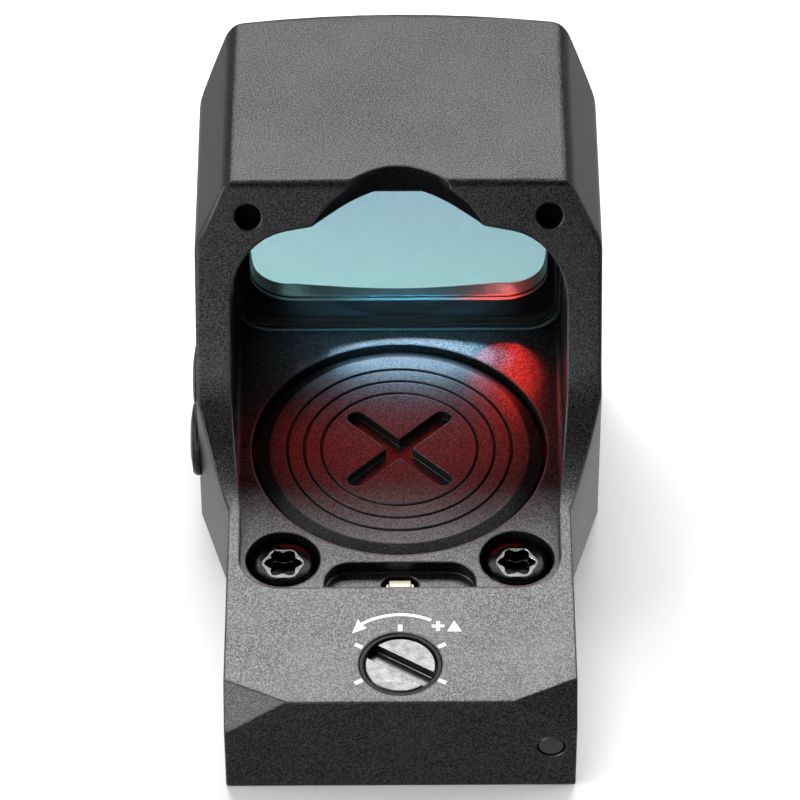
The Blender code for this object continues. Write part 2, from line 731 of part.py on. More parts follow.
def lens_element(name, near, far):
    """One glass element, between two planes parallel to the lens."""
    outline = tunnel_outline(LENS_EDGE_GAP, 2.6 * MM)
    element = prism(name, outline, "Y", 0.0, HOOD_TOP_FRONT_Y)
    trim(element, behind_lens_plane(far))
    return cut(element, behind_lens_plane(near))


def make_lens(surfaces):
    rear_end = REAR_ELEMENT_THICKNESS
    front_end = rear_end + GAP + FRONT_ELEMENT_THICKNESS
    gasket_end = front_end + GAP + LENS_GASKET_THICKNESS
    rear = lens_element("lens_rear_element", 0.0, rear_end)
    front = lens_element("lens_front_element", rear_end + GAP, front_end)
    gasket = lens_element("lens_gasket", front_end + GAP, gasket_end)
    inner = front_opening_outline(0.05 * MM)
    cut(gasket, prism("gasket_window", inner, "Y", 0.0, HOOD_TOP_FRONT_Y))
    finish(rear, surfaces["coated_glass"])
    finish(front, surfaces["coated_glass"])
    finish(gasket, surfaces["black_rubber"])


# Battery compartment


def cross_slot_cutter(direction):
    """Half of the coin slot: one slot with round ends, turned by direction."""
    ends = stadium(CAP_SLOT_REACH, CAP_SLOT_WIDTH / 2, (0, 0))
    slot = prism("cross_slot", ends, "Z", CAP_TOP_Z - CAP_SLOT_DEPTH, CAP_TOP_Z + MM)
    turn = Matrix.Rotation(direction, 4, "Z")
    slot.data.transform(Matrix.Translation((0, CAP_Y, 0)) @ turn)
    return slot


def make_battery_cap(surfaces):
    profile = [
        (0, CAP_INNER_Z),
        (CAP_SKIRT_BORE_RADIUS, CAP_INNER_Z),
        (CAP_SKIRT_BORE_RADIUS, CAP_SKIRT_END_Z),
        (CAP_SKIRT_RADIUS, CAP_SKIRT_END_Z),
        (CAP_SKIRT_RADIUS, CAP_FLANGE_UNDERSIDE_Z),
        (CAP_RADIUS, CAP_FLANGE_UNDERSIDE_Z),
        (CAP_RADIUS, CAP_EDGE_Z),
        (CAP_FLAT_RADIUS + 0.1 * MM, CAP_TOP_Z - 0.03 * MM),
        (CAP_FLAT_RADIUS - 0.1 * MM, CAP_TOP_Z),
    ]
    for radius in CAP_GROOVE_RADII:
        groove_z = CAP_TOP_Z - CAP_GROOVE_DEPTH
        half = CAP_GROOVE_WIDTH / 2
        profile += [(radius + half, CAP_TOP_Z), (radius, groove_z), (radius - half, CAP_TOP_Z)]
    profile.append((0, CAP_TOP_Z))
    cap = turned("battery_cap", profile, (0, CAP_Y, 0), "Z", 72)
    cut(cap, cross_slot_cutter(math.pi / 4), cross_slot_cutter(-math.pi / 4))
    move_origin(cap, (0, CAP_Y, 0))
    finish(cap, surfaces["black_anodised"])


def ring_profile(ring_radius, wire_radius, z, count=6):
    """The round section of an O-ring."""
    return [(ring_radius + u, z + v) for u, v in circle(wire_radius, count=count)]


def make_cap_o_ring(surfaces):
    profile = ring_profile(11.02 * MM, 0.24 * MM, 5.43 * MM)
    ring = turned("cap_o_ring", profile, (0, CAP_Y, 0), "Z", 48)
    move_origin(ring, (0, CAP_Y, 0))
    finish(ring, surfaces["black_rubber"])


def make_battery(surfaces):
    rim = 0.25 * MM
    profile = [
        (0, BATTERY_LOW_Z),
        (BATTERY_RADIUS - 1.3 * MM, BATTERY_LOW_Z),
        (BATTERY_RADIUS - 1.1 * MM, BATTERY_LOW_Z + rim),
        (BATTERY_RADIUS - rim, BATTERY_LOW_Z + rim),
        (BATTERY_RADIUS, BATTERY_LOW_Z + 2 * rim),
        (BATTERY_RADIUS, BATTERY_HIGH_Z - rim),
        (BATTERY_RADIUS - rim, BATTERY_HIGH_Z),
        (0, BATTERY_HIGH_Z),
    ]
    cell = turned("battery_cell", profile, (0, CAP_Y, 0), "Z", 40)
    finish(cell, surfaces["bright_steel"])


def make_battery_contacts(surfaces):
    """Insulating ring, sprung cone under the cell and the strip at its side."""
    centre = (0, CAP_Y, 0)
    base = WELL_FLOOR_Z + 0.05 * MM
    ring = [(r * MM, z) for r, z in ((7.2, base), (10.2, base), (10.2, base + 0.25 * MM))]
    ring.append((7.2 * MM, base + 0.25 * MM))
    insulator = turned("battery_insulator", ring, centre, "Z", 40)
    finish(insulator, surfaces["amber_film"])
    cone = [(2.0, 0.32), (6.8, 0.0), (6.8, 0.15), (2.0, 0.47)]
    profile = [(r * MM, base + z * MM) for r, z in cone]
    spring = turned("battery_contact_spring", profile, centre, "Z", 32)
    finish(spring, surfaces["brass"])
    strip = []
    for radius, angles in ((10.12, range(60, 121, 6)), (10.27, range(120, 59, -6))):
        for degrees in angles:
            angle = math.radians(degrees)
            strip.append((radius * MM * math.cos(angle), CAP_Y + radius * MM * math.sin(angle)))
    contact = prism("battery_side_contact", strip, "Z", 1.9 * MM, 3.5 * MM)
    finish(contact, surfaces["brass"])


# Mounting


def torx_outline():
    """Six rounded lobes about the origin."""
    outline = []
    for step in range(48):
        angle = 2 * math.pi * step / 48
        radius = TORX_RADIUS * (0.88 + 0.12 * math.cos(6 * angle))
        outline.append((radius * math.cos(angle), radius * math.sin(angle)))
    return outline


def make_mounting_screw(name, side, surfaces):
    underside = MOUNT_COUNTERBORE_Z + GAP
    profile = [
        (0, MOUNT_SHANK_END_Z),
        (MOUNT_SHANK_RADIUS - 0.3 * MM, MOUNT_SHANK_END_Z),
        (MOUNT_SHANK_RADIUS, MOUNT_SHANK_END_Z + 0.3 * MM),
        (MOUNT_SHANK_RADIUS, underside),
        (MOUNT_HEAD_RADIUS, underside),
        (MOUNT_HEAD_RADIUS, MOUNT_HEAD_TOP_Z - 0.5 * MM),
        (MOUNT_HEAD_RADIUS - 0.15 * MM, MOUNT_HEAD_TOP_Z - 0.2 * MM),
        (MOUNT_HEAD_RADIUS - 0.5 * MM, MOUNT_HEAD_TOP_Z),
        (0, MOUNT_HEAD_TOP_Z),
    ]
    centre = (side * MOUNT_X, MOUNT_Y, 0)
    screw = turned(name, profile, centre, "Z", 32)
    socket_z = MOUNT_HEAD_TOP_Z - TORX_DEPTH
    socket = prism("torx_socket", torx_outline(), "Z", socket_z, MOUNT_HEAD_TOP_Z + MM)
    socket.data.transform(Matrix.Translation(centre))
    cut(screw, socket)
    finish(screw, surfaces["black_steel"])


def mount_clearances():
    """Round cutters for the mounting screws where they pass the underside pieces."""
    steps = [(MOUNT_HOLE_RADIUS + 0.2 * MM, -BEYOND, PLATE_RECESS_Z + BEYOND)]
    return [
        stepped_bore("clearance", (side * MOUNT_X, MOUNT_Y, 0), "Z", steps, 20) for side in (-1, 1)
    ]


def make_bottom_plate(surfaces):
    plate = prism("bottom_plate", plate_outline(GAP), "Z", 0.0, PLATE_THICKNESS)
    cut(plate, *mount_clearances())
    head = PLATE_SCREW_HEAD_RADIUS + GAP
    for x, y in PLATE_SCREW_PLACES:
        steps = [(head, -BEYOND, 0.4 * MM), (PLATE_SCREW_RADIUS + GAP, 0.4 * MM, BEYOND)]
        cut(plate, stepped_bore("countersink", (x * MM, y * MM, 0), "Z", steps, 16))
    finish(plate, surfaces["black_anodised"])


def make_base_gasket(surfaces):
    low = PLATE_THICKNESS + 0.05 * MM
    gasket = prism("base_gasket", plate_outline(GAP), "Z", low, low + PLATE_GASKET_THICKNESS)
    middle = box_outline(8.4 * MM, -26.2 * MM, -14.9 * MM, 0.8 * MM)
    front = box_outline(7.6 * MM, -9.0 * MM, 13.8 * MM, 2.0 * MM)
    cut(gasket, *mount_clearances())
    cut(gasket, prism("opening", middle, "Z", 0.0, BEYOND), prism("opening", front, "Z", 0.0, BEYOND))
    for x, y in PLATE_SCREW_PLACES:
        steps = [(PLATE_SCREW_RADIUS + GAP, 0.0, BEYOND)]
        cut(gasket, stepped_bore("screw_hole", (x * MM, y * MM, 0), "Z", steps, 12))
    finish(gasket, surfaces["black_rubber"])


def make_plate_screws(surfaces):
    for number, (x, y) in enumerate(PLATE_SCREW_PLACES, start=1):
        profile = [
            (0, 0.05 * MM),
            (PLATE_SCREW_HEAD_RADIUS, 0.05 * MM),
            (PLATE_SCREW_HEAD_RADIUS, 0.35 * MM),
            (PLATE_SCREW_RADIUS, 0.35 * MM),
            (PLATE_SCREW_RADIUS, PLATE_SCREW_TOP_Z),
            (0, PLATE_SCREW_TOP_Z),
        ]
        screw = turned(f"plate_screw_{number}", profile, (x * MM, y * MM, 0), "Z", 16)
        slot = prism("slot", box_outline(0.8 * MM, -0.15 * MM, 0.15 * MM), "Z", 0.0, 0.2 * MM)
        slot.data.transform(Matrix.Translation((x * MM, y * MM, 0)))
        cut(screw, slot)
        finish(screw, surfaces["black_steel"])


def make_rear_plug(surfaces):
    rear = REAR_Y + 0.05 * MM
    profile = [
        (0, rear),
        (PLUG_RADIUS - 0.15 * MM, rear),
        (PLUG_RADIUS, rear + 0.15 * MM),
        (PLUG_RADIUS, REAR_Y + PLUG_DEPTH),
        (0, REAR_Y + PLUG_DEPTH),
    ]
    plug = turned("rear_plug", profile, (PLUG_X, 0, PLUG_Z), "Y", 20)
    finish(plug, surfaces["black_plastic"])


# Emitter and its two stages


def make_windage_stage(surfaces):
    """The tray that the windage screw moves sideways, with its threaded boss."""
    tray = box_outline(7.2 * MM, -25.8 * MM, -17.5 * MM, 0.6 * MM)
    stage = prism("windage_stage", tray, "Z", 1.95 * MM, 2.7 * MM)
    boss = [(x * MM, y * MM) for x, y in ((2.5, -22.75), (5.4, -22.75), (5.4, -20.25), (2.5, -20.25))]
    unite(stage, prism("boss", boss, "Z", 2.5 * MM, 5.8 * MM))
    thread = [(WINDAGE_SHAFT_RADIUS + GAP, 0.0, 8.0 * MM)]
    cut(stage, stepped_bore("thread", (0, WINDAGE_Y, WINDAGE_Z), "X", thread, 16))
    passage = [(1.6 * MM, 0.0, BEYOND)]
    cut(stage, stepped_bore("passage", (0, ELEVATION_Y, 0), "Z", passage, 20))
    finish(stage, surfaces["brass"])


def make_elevation_stage(surfaces):
    """The plate that the elevation screw raises, with the arm that carries the emitter."""
    corners = [
        (-6.8, -25.6, 0.5),
        (1.95, -25.6, 0.5),
        (1.95, -12.3, 0.5),
        (-1.95, -12.3, 0.5),
        (-1.95, -17.7, 0),
        (-6.8, -17.7, 0.5),
    ]
    outline = rounded([(x * MM, y * MM, r * MM) for x, y, r in corners], math.radians(30))
    stage = prism("elevation_stage", outline, "Z", 3.05 * MM, 4.38 * MM)
    slot = stadium(1.45 * MM, 1.15 * MM, (0, ELEVATION_Y))
    cut(stage, prism("screw_slot", slot, "Z", 2.0 * MM, 6.0 * MM))
    finish(stage, surfaces["brass"])


def make_emitter(surfaces):
    """The little board on the arm, and the emitter block on the board."""
    outline = box_outline(1.75 * MM, -15.8 * MM, -12.45 * MM, 0.2 * MM)
    board = prism("emitter_board", outline, "Z", 4.45 * MM, 4.85 * MM)
    finish(board, surfaces["circuit_board"])
    block = box_outline(0.8 * MM, -13.75 * MM, -12.6 * MM, 0.08 * MM)
    emitter = prism("led_emitter", block, "Z", 4.92 * MM, 5.75 * MM)
    finish(emitter, surfaces["cream_ceramic"])


def make_circuit_board(surfaces):
    corners = [
        (-7.9, -26.0, 0.6),
        (-7.9, -17.4, 0.6),
        (-4.9, -17.4, 0),
        (-4.9, -12.3, 0.6),
    ]
    outline = rounded(mirrored([(x * MM, y * MM, r * MM) for x, y, r in corners]))
    board = prism("circuit_board", outline, "Z", 1.05 * MM, 1.4 * MM)
    finish(board, surfaces["circuit_board"])
    chip = box_outline(1.6 * MM, -16.6 * MM, -13.4 * MM, 0.1 * MM)
    finish(prism("control_chip", chip, "Z", 1.45 * MM, 2.35 * MM), surfaces["black_plastic"])


def slot_across(head_face, centre, axis, direction, reach):
    """A screwdriver slot across a head that ends at head_face along its axis."""
    half = ADJUSTER_SLOT_WIDTH / 2
    outline = box_outline(reach, -half, half)
    cosine = math.cos(direction)
    sine = math.sin(direction)
    outline = [(u * cosine - v * sine, u * sine + v * cosine) for u, v in outline]
    slot = prism("driver_slot", outline, axis, head_face - ADJUSTER_SLOT_DEPTH, head_face + MM)
    slot.data.transform(Matrix.Translation(centre))
    return slot


def make_elevation_screw(surfaces):
    top = DECK_Z - 0.12 * MM
    centre = (0, ELEVATION_Y, 0)
    profile = [
        (0, ELEVATION_SHAFT_END_Z),
        (ELEVATION_SHAFT_RADIUS - 0.2 * MM, ELEVATION_SHAFT_END_Z),
        (ELEVATION_SHAFT_RADIUS, ELEVATION_SHAFT_END_Z + 0.2 * MM),
        (ELEVATION_SHAFT_RADIUS, ELEVATION_BORE_Z + 0.65 * MM),
        (ELEVATION_HEAD_RADIUS, ELEVATION_BORE_Z + 0.65 * MM),
        (ELEVATION_HEAD_RADIUS, top - 0.1 * MM),
        (ELEVATION_HEAD_RADIUS - 0.1 * MM, top),
        (0, top),
    ]
    screw = turned("elevation_screw", profile, centre, "Z", 40)
    reach = ELEVATION_HEAD_RADIUS + MM
    cut(screw, slot_across(top, centre, "Z", ELEVATION_SLOT_ANGLE, reach))
    move_origin(screw, centre)
    finish(screw, surfaces["bright_steel"])


def make_elevation_bushing(surfaces):
    """The dark ring that lines the deck's bore round the screw head."""
    inner = ELEVATION_HEAD_RADIUS + 0.06 * MM
    outer = ELEVATION_BORE_RADIUS - 0.05 * MM
    low = ELEVATION_BORE_Z + 0.05 * MM
    high = DECK_Z - 0.08 * MM
    profile = [(inner, low), (outer, low), (outer, high), (inner + 0.08 * MM, high)]
    profile.append((inner, high - 0.08 * MM))
    bushing = turned("elevation_bushing", profile, (0, ELEVATION_Y, 0), "Z", 40)
    finish(bushing, surfaces["black_steel"])


def make_elevation_small_parts(surfaces):
    """O-ring under the head, retaining ring under the deck and the spring on the stage."""
    centre = (0, ELEVATION_Y, 0)
    seal = ring_profile(1.35 * MM, 0.25 * MM, ELEVATION_BORE_Z + 0.32 * MM)
    finish(turned("elevation_o_ring", seal, centre, "Z", 24), surfaces["black_rubber"])
    low = 6.2 * MM
    high = 6.5 * MM
    inner = ELEVATION_SHAFT_RADIUS + 0.05 * MM
    clip = [(inner, low), (1.9 * MM, low), (1.9 * MM, high), (inner, high)]
    finish(turned("elevation_retaining_ring", clip, centre, "Z", 24), surfaces["spring_steel"])
    spring = coil("elevation_spring", 1.65 * MM, 0.14 * MM, 4.62 * MM, 6.0 * MM, 3)
    spring.data.transform(Matrix.Translation(centre))
    finish(spring, surfaces["spring_steel"], 60)


def coil(name, radius, wire_radius, low, high, turns, axis="Z"):
    """A compression spring from low to high, with capped ends, turned about an axis."""
    steps = turns * 12
    loops = []
    for step in range(steps + 1):
        angle = 2 * math.pi * turns * step / steps
        rise = low + (high - low) * step / steps
        loop = []
        for u, v in circle(wire_radius, count=6):
            reach = radius + u
            loop.append(place(axis, reach * math.cos(angle), reach * math.sin(angle), rise + v))
        loops.append(loop)
    return loft(name, loops)


def make_windage_screw(surfaces):
    head_start = WINDAGE_BORE_X + 0.5 * MM
    head_end = BASE_HALF_WIDTH - 0.1 * MM
    centre = (0, WINDAGE_Y, WINDAGE_Z)
    profile = [
        (0, WINDAGE_SHAFT_END_X),
        (WINDAGE_SHAFT_RADIUS, WINDAGE_SHAFT_END_X),
        (WINDAGE_SHAFT_RADIUS, head_start),
        (WINDAGE_HEAD_RADIUS, head_start),
        (WINDAGE_HEAD_RADIUS, head_end - 0.1 * MM),
        (WINDAGE_HEAD_RADIUS - 0.1 * MM, head_end),
        (0, head_end),
    ]
    screw = turned("windage_screw", profile, centre, "X", 28)
    reach = WINDAGE_HEAD_RADIUS + MM
    cut(screw, slot_across(head_end, centre, "X", math.radians(20), reach))
    move_origin(screw, centre)
    finish(screw, surfaces["bright_steel"])


def make_windage_small_parts(surfaces):
    """O-ring under the head, retaining ring inside the wall and the anti-backlash spring."""
    centre = (0, WINDAGE_Y, WINDAGE_Z)
    seal = ring_profile(1.1 * MM, 0.19 * MM, WINDAGE_BORE_X + 0.25 * MM)
    finish(turned("windage_o_ring", seal, centre, "X", 24), surfaces["black_rubber"])
    inner = WINDAGE_SHAFT_RADIUS + 0.05 * MM
    low = 7.8 * MM
    high = 8.1 * MM
    clip = [(inner, low), (1.5 * MM, low), (1.5 * MM, high), (inner, high)]
    finish(turned("windage_retaining_ring", clip, centre, "X", 20), surfaces["spring_steel"])
    spring = coil("windage_spring", 1.15 * MM, 0.13 * MM, 5.95 * MM, 7.5 * MM, 3, "X")
    spring.data.transform(Matrix.Translation(centre))
    finish(spring, surfaces["spring_steel"], 60)


# Side buttons


def make_button(name, y, surfaces):
    """One crowned push button with its O-ring and the switch behind it."""
    centre = (0, y, BUTTON_Z)
    middle_x = BUTTON_INNER_X - 0.45 * MM
    waist = BUTTON_RADIUS - 0.45 * MM
    profile = [
        (0, BUTTON_CROWN_X),
        (BUTTON_RADIUS * 0.55, BUTTON_CROWN_X + 0.08 * MM),
        (BUTTON_RADIUS - 0.2 * MM, BUTTON_RIM_X),
        (BUTTON_RADIUS, BUTTON_RIM_X + 0.25 * MM),
        (BUTTON_RADIUS, middle_x - 0.2 * MM),
        (waist, middle_x - 0.2 * MM),
        (waist, middle_x + 0.25 * MM),
        (BUTTON_RADIUS, middle_x + 0.25 * MM),
        (BUTTON_RADIUS, BUTTON_INNER_X),
        (0, BUTTON_INNER_X),
    ]
    button = turned(name, profile, centre, "X", 32)
    move_origin(button, centre)
    finish(button, surfaces["black_anodised"])
    seal = ring_profile(waist + 0.24 * MM, 0.18 * MM, middle_x + 0.02 * MM)
    finish(turned(f"{name}_o_ring", seal, centre, "X", 32), surfaces["black_rubber"])


def make_switch(name, y, surfaces):
    """A flat tactile switch at the bottom of a button's bore."""
    low = BUTTON_Z - 1.3 * MM
    high = BUTTON_Z + 1.3 * MM
    corners = [(y - 1.3 * MM, low), (y + 1.3 * MM, low), (y + 1.3 * MM, high), (y - 1.3 * MM, high)]
    case = prism(name, corners, "X", BUTTON_BORE_X - 0.5 * MM, BUTTON_BORE_X - 0.05 * MM)
    dome = [(0.6 * MM, BUTTON_BORE_X - 0.7 * MM, BUTTON_BORE_X - 0.3 * MM)]
    unite(case, stepped_bore("dome", (0, y, BUTTON_Z), "X", dome, 16))
    finish(case, surfaces["nickel"])


def build():
    clear_scene()
    surfaces = {name: make_material(name, *look) for name, look in MATERIALS.items()}
    make_housing(surfaces)
    make_lens(surfaces)
    make_battery_cap(surfaces)
    make_cap_o_ring(surfaces)
    make_battery(surfaces)
    make_battery_contacts(surfaces)
    make_mounting_screw("mounting_screw_left", -1, surfaces)
    make_mounting_screw("mounting_screw_right", 1, surfaces)
    make_bottom_plate(surfaces)
    make_base_gasket(surfaces)
    make_plate_screws(surfaces)
    make_rear_plug(surfaces)
    make_windage_stage(surfaces)
    make_elevation_stage(surfaces)
    make_emitter(surfaces)
    make_circuit_board(surfaces)
    make_elevation_screw(surfaces)
    make_elevation_bushing(surfaces)
    make_elevation_small_parts(surfaces)
    make_windage_screw(surfaces)
    make_windage_small_parts(surfaces)
    for name, y in BUTTON_PLACES.items():
        make_button(name, y, surfaces)
        make_switch(name.replace("button", "switch"), y, surfaces)


build()
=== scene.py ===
"""Looks of the compact open reflex sight: surfaces, printed marks, small parts, studio and camera."""
import math

import bmesh
import bpy
from mathutils import Matrix, Vector


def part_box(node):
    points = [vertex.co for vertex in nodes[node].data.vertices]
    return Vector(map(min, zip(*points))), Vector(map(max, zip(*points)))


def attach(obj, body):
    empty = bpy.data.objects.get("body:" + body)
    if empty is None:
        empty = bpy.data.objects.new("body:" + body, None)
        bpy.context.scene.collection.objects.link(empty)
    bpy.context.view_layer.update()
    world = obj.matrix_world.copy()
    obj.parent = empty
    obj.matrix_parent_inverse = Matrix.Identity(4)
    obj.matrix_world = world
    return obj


MM = 0.001

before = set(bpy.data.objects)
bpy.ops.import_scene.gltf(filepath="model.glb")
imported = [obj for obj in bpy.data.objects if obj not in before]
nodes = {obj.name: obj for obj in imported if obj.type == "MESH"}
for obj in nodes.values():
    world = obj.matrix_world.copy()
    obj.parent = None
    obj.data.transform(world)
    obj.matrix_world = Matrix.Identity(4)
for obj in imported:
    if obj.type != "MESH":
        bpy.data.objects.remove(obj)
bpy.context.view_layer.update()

# Camera, round the row frame's origin
CAMERA_PLACE = Vector((0.066, -264.5, 276.9)) * MM
CAMERA_AIM = Vector((0.066, -7.78, 20.22)) * MM
CAMERA_LENS = 220.5
CAMERA_ROLL = math.radians(-0.27)

# Shading of round and flat stretches
WELD_DISTANCE = 0.0005 * MM
SHARP_DEGREES = 36

# Finish of the metal; between the deck's level and the hood's the grain softens towards the deck and a
# painted shade darkens the housing towards the hood
GRAIN_SIZE = 0.11 * MM
GRAIN_DEPTH = 0.007 * MM
TOOLING_DEPTH = 0.012 * MM
TEXTURE_DEPTH = 0.01 * MM
LATHE_PITCH = 0.16 * MM
DECK_TONE_Z = 12.0 * MM
HOOD_TONE_Z = 25.0 * MM
# Reach of the painted highlight on the edges round a mounting screw's driver socket
HIGHLIGHT_FULL_RADIUS = 1.55 * MM
HIGHLIGHT_END_RADIUS = 1.85 * MM

# Printed marks round the elevation screw
INK_THICKNESS = 0.012 * MM
INK_GAP = 0.003 * MM
BUSHING_SINK = 0.08 * MM
ARC_RADIUS = 4.85 * MM
ARC_WIDTH = 0.27 * MM
ARC_START = math.radians(62)
ARC_END = math.radians(126)
ARROW_END = math.radians(140)
ARROW_TIP_RADIUS = 4.65 * MM
ARROW_HALF_WIDTH = 0.55 * MM
TICK_START = 3.2 * MM
TICK_END = 3.85 * MM
TICK_WIDTH = 0.34 * MM
TICK_DEGREES = (90, 30, 150, 210, 330)
SYMBOL_X = 2.8 * MM
SYMBOL_STEP = 1.2 * MM
SYMBOL_RISE = 3.7 * MM
SYMBOL_HEIGHT = 1.1 * MM

# Sealant round the glass
BEAD_CLEARANCE = 0.03 * MM
BEAD_WIDTH = 0.24 * MM
BEAD_CROWN = 0.06 * MM
BEAD_DEPTH = 0.9 * MM

# Painted shade: dark cups in the blind sockets of the hood's rear face, where the sockets lie in shade
SOCKET_PLACE = Vector((11.4, 6.965, 25.06)) * MM
SOCKET_LEAN = math.radians(29.7)
SOCKET_RADIUS = 1.0 * MM
SOCKET_DEPTH = 1.5 * MM
SOCKET_RIM = 0.12 * MM
SOCKET_WALL = 0.08 * MM
SOCKET_STEPS = 24

# Painted highlight: bright rims round the lobed driver sockets of the mounting screws
DRIVER_RADIUS = 1.45 * MM
DRIVER_LOBES = 6
RIM_INSET = 0.015 * MM
RIM_WIDTH = 0.13 * MM
RIM_GAP = 0.004 * MM
RIM_THICKNESS = 0.02 * MM
RIM_STEPS = 96

# Terminals of the emitter
TERMINAL_LENGTH = 0.2 * MM
TERMINAL_GAP = 0.05 * MM

# Light that the coated window throws: bands behind the glass and rows over the sill
GLOW_RED = (1.0, 0.03, 0.02)
GLOW_TEAL = (0.2, 0.7, 1.0)
GLOW_BLUE = (0.5, 0.75, 1.0)
GLOW_GREY = (0.75, 0.8, 1.0)
BAND_DIP = 0.8
BAND_SPREAD = 84
ROW_HEIGHT = 5.0
ROW_DEPTH = 1.5 * MM
ROW_SPREAD = 70


# Material graphs


class Surface:
    """A Principled material and the texture nodes behind it, in object coordinates."""

    def __init__(self, name, metallic=0.0, roughness=0.5, specular=0.5):
        self.material = bpy.data.materials.new(name)
        self.material.use_nodes = True
        self.tree = self.material.node_tree
        self.shader = self.tree.nodes["Principled BSDF"]
        self.set("Metallic", metallic)
        self.set("Roughness", roughness)
        self.set("Specular IOR Level", specular)
        self.position = self.add("ShaderNodeTexCoord").outputs["Object"]

    def add(self, kind, **settings):
        node = self.tree.nodes.new(kind)
        for key, value in settings.items():
            setattr(node, key, value)
        return node

    def link(self, output, target):
        self.tree.links.new(output, target)

    def set(self, socket, value):
        """A number or a colour on the shader, the same all over the surface."""
        if isinstance(value, tuple):
            value = (*value, 1.0)
        self.shader.inputs[socket].default_value = value

    def noise(self, size, detail=2.0, roughness=0.55, stretch=(1.0, 1.0, 1.0)):
        """Noise whose blotches measure about size across."""
        mapping = self.add("ShaderNodeMapping")
        mapping.inputs["Scale"].default_value = stretch
        texture = self.add("ShaderNodeTexNoise")
        texture.inputs["Scale"].default_value = 1.0 / size
        texture.inputs["Detail"].default_value = detail
        texture.inputs["Roughness"].default_value = roughness
        self.link(self.position, mapping.inputs["Vector"])
        self.link(mapping.outputs["Vector"], texture.inputs["Vector"])
        return texture.outputs["Fac"]

    def math(self, operation, first, second=0.0):
        node = self.add("ShaderNodeMath", operation=operation)
        for index, value in enumerate((first, second)):
            if isinstance(value, (int, float)):
                node.inputs[index].default_value = value
            else:
                self.link(value, node.inputs[index])
        return node.outputs["Value"]

    def spread(self, value, low, high, to_low, to_high):
        """The value's stretch from low to high, mapped to another."""
        node = self.add("ShaderNodeMapRange")
        self.link(value, node.inputs["Value"])
        ends = {"From Min": low, "From Max": high, "To Min": to_low, "To Max": to_high}
        for name, number in ends.items():
            node.inputs[name].default_value = number
        return node.outputs["Result"]

    def mix(self, share, first, second):
        """A colour between two, by share; either may be a colour or another node's output."""
        node = self.add("ShaderNodeMix", data_type="RGBA")
        self.link(share, node.inputs["Factor"])
        for socket, colour in ((node.inputs[6], first), (node.inputs[7], second)):
            if isinstance(colour, tuple):
                socket.default_value = (*colour, 1.0)
            else:
                self.link(colour, socket)
        return node.outputs[2]

    def split(self, vector):
        node = self.add("ShaderNodeSeparateXYZ")
        self.link(vector, node.inputs["Vector"])
        return node.outputs

    def soft_edges(self, radius):
        """The surface normal with its edges rounded off."""
        node = self.add("ShaderNodeBevel", samples=6)
        node.inputs["Radius"].default_value = radius
        return node.outputs["Normal"]

    def scale(self, colour, factor):
        """A colour made darker or lighter by a factor."""
        node = self.add("ShaderNodeVectorMath", operation="SCALE")
        self.link(colour, node.inputs[0])
        self.link(factor, node.inputs["Scale"])
        return node.outputs["Vector"]

    def edge_mask(self, rounded, width):
        """0 on flats and 1 on edges, from how far the rounded normal leans off the true one."""
        true_normal = self.add("ShaderNodeNewGeometry").outputs["Normal"]
        node = self.add("ShaderNodeVectorMath", operation="DOT_PRODUCT")
        self.link(rounded, node.inputs[0])
        self.link(true_normal, node.inputs[1])
        return self.spread(node.outputs["Value"], 0.998, 1.0 - width, 0.0, 1.0)

    def bump(self, height, strength, distance, normal=None):
        node = self.add("ShaderNodeBump")
        node.inputs["Strength"].default_value = strength
        node.inputs["Distance"].default_value = distance
        self.link(height, node.inputs["Height"])
        if normal is not None:
            self.link(normal, node.inputs["Normal"])
        self.link(node.outputs["Normal"], self.shader.inputs["Normal"])
        return node.outputs["Normal"]

    def colour(self, output):
        self.link(output, self.shader.inputs["Base Color"])

    def rough(self, output):
        self.link(output, self.shader.inputs["Roughness"])

    def radius_from(self, centre):
        """Distance from the upright line through centre."""
        shift = self.add("ShaderNodeVectorMath", operation="SUBTRACT")
        flatten = self.add("ShaderNodeVectorMath", operation="MULTIPLY")
        length = self.add("ShaderNodeVectorMath", operation="LENGTH")
        shift.inputs[1].default_value = centre
        flatten.inputs[1].default_value = (1.0, 1.0, 0.0)
        self.link(self.position, shift.inputs[0])
        self.link(shift.outputs["Vector"], flatten.inputs[0])
        self.link(flatten.outputs["Vector"], length.inputs[0])
        return length.outputs["Value"]

    def lathe_rings(self, centre):
        """Waves from -1 to 1 in rings round the upright line through centre."""
        phase = self.math("MULTIPLY", self.radius_from(centre), 2 * math.pi / LATHE_PITCH)
        return self.math("SINE", phase)


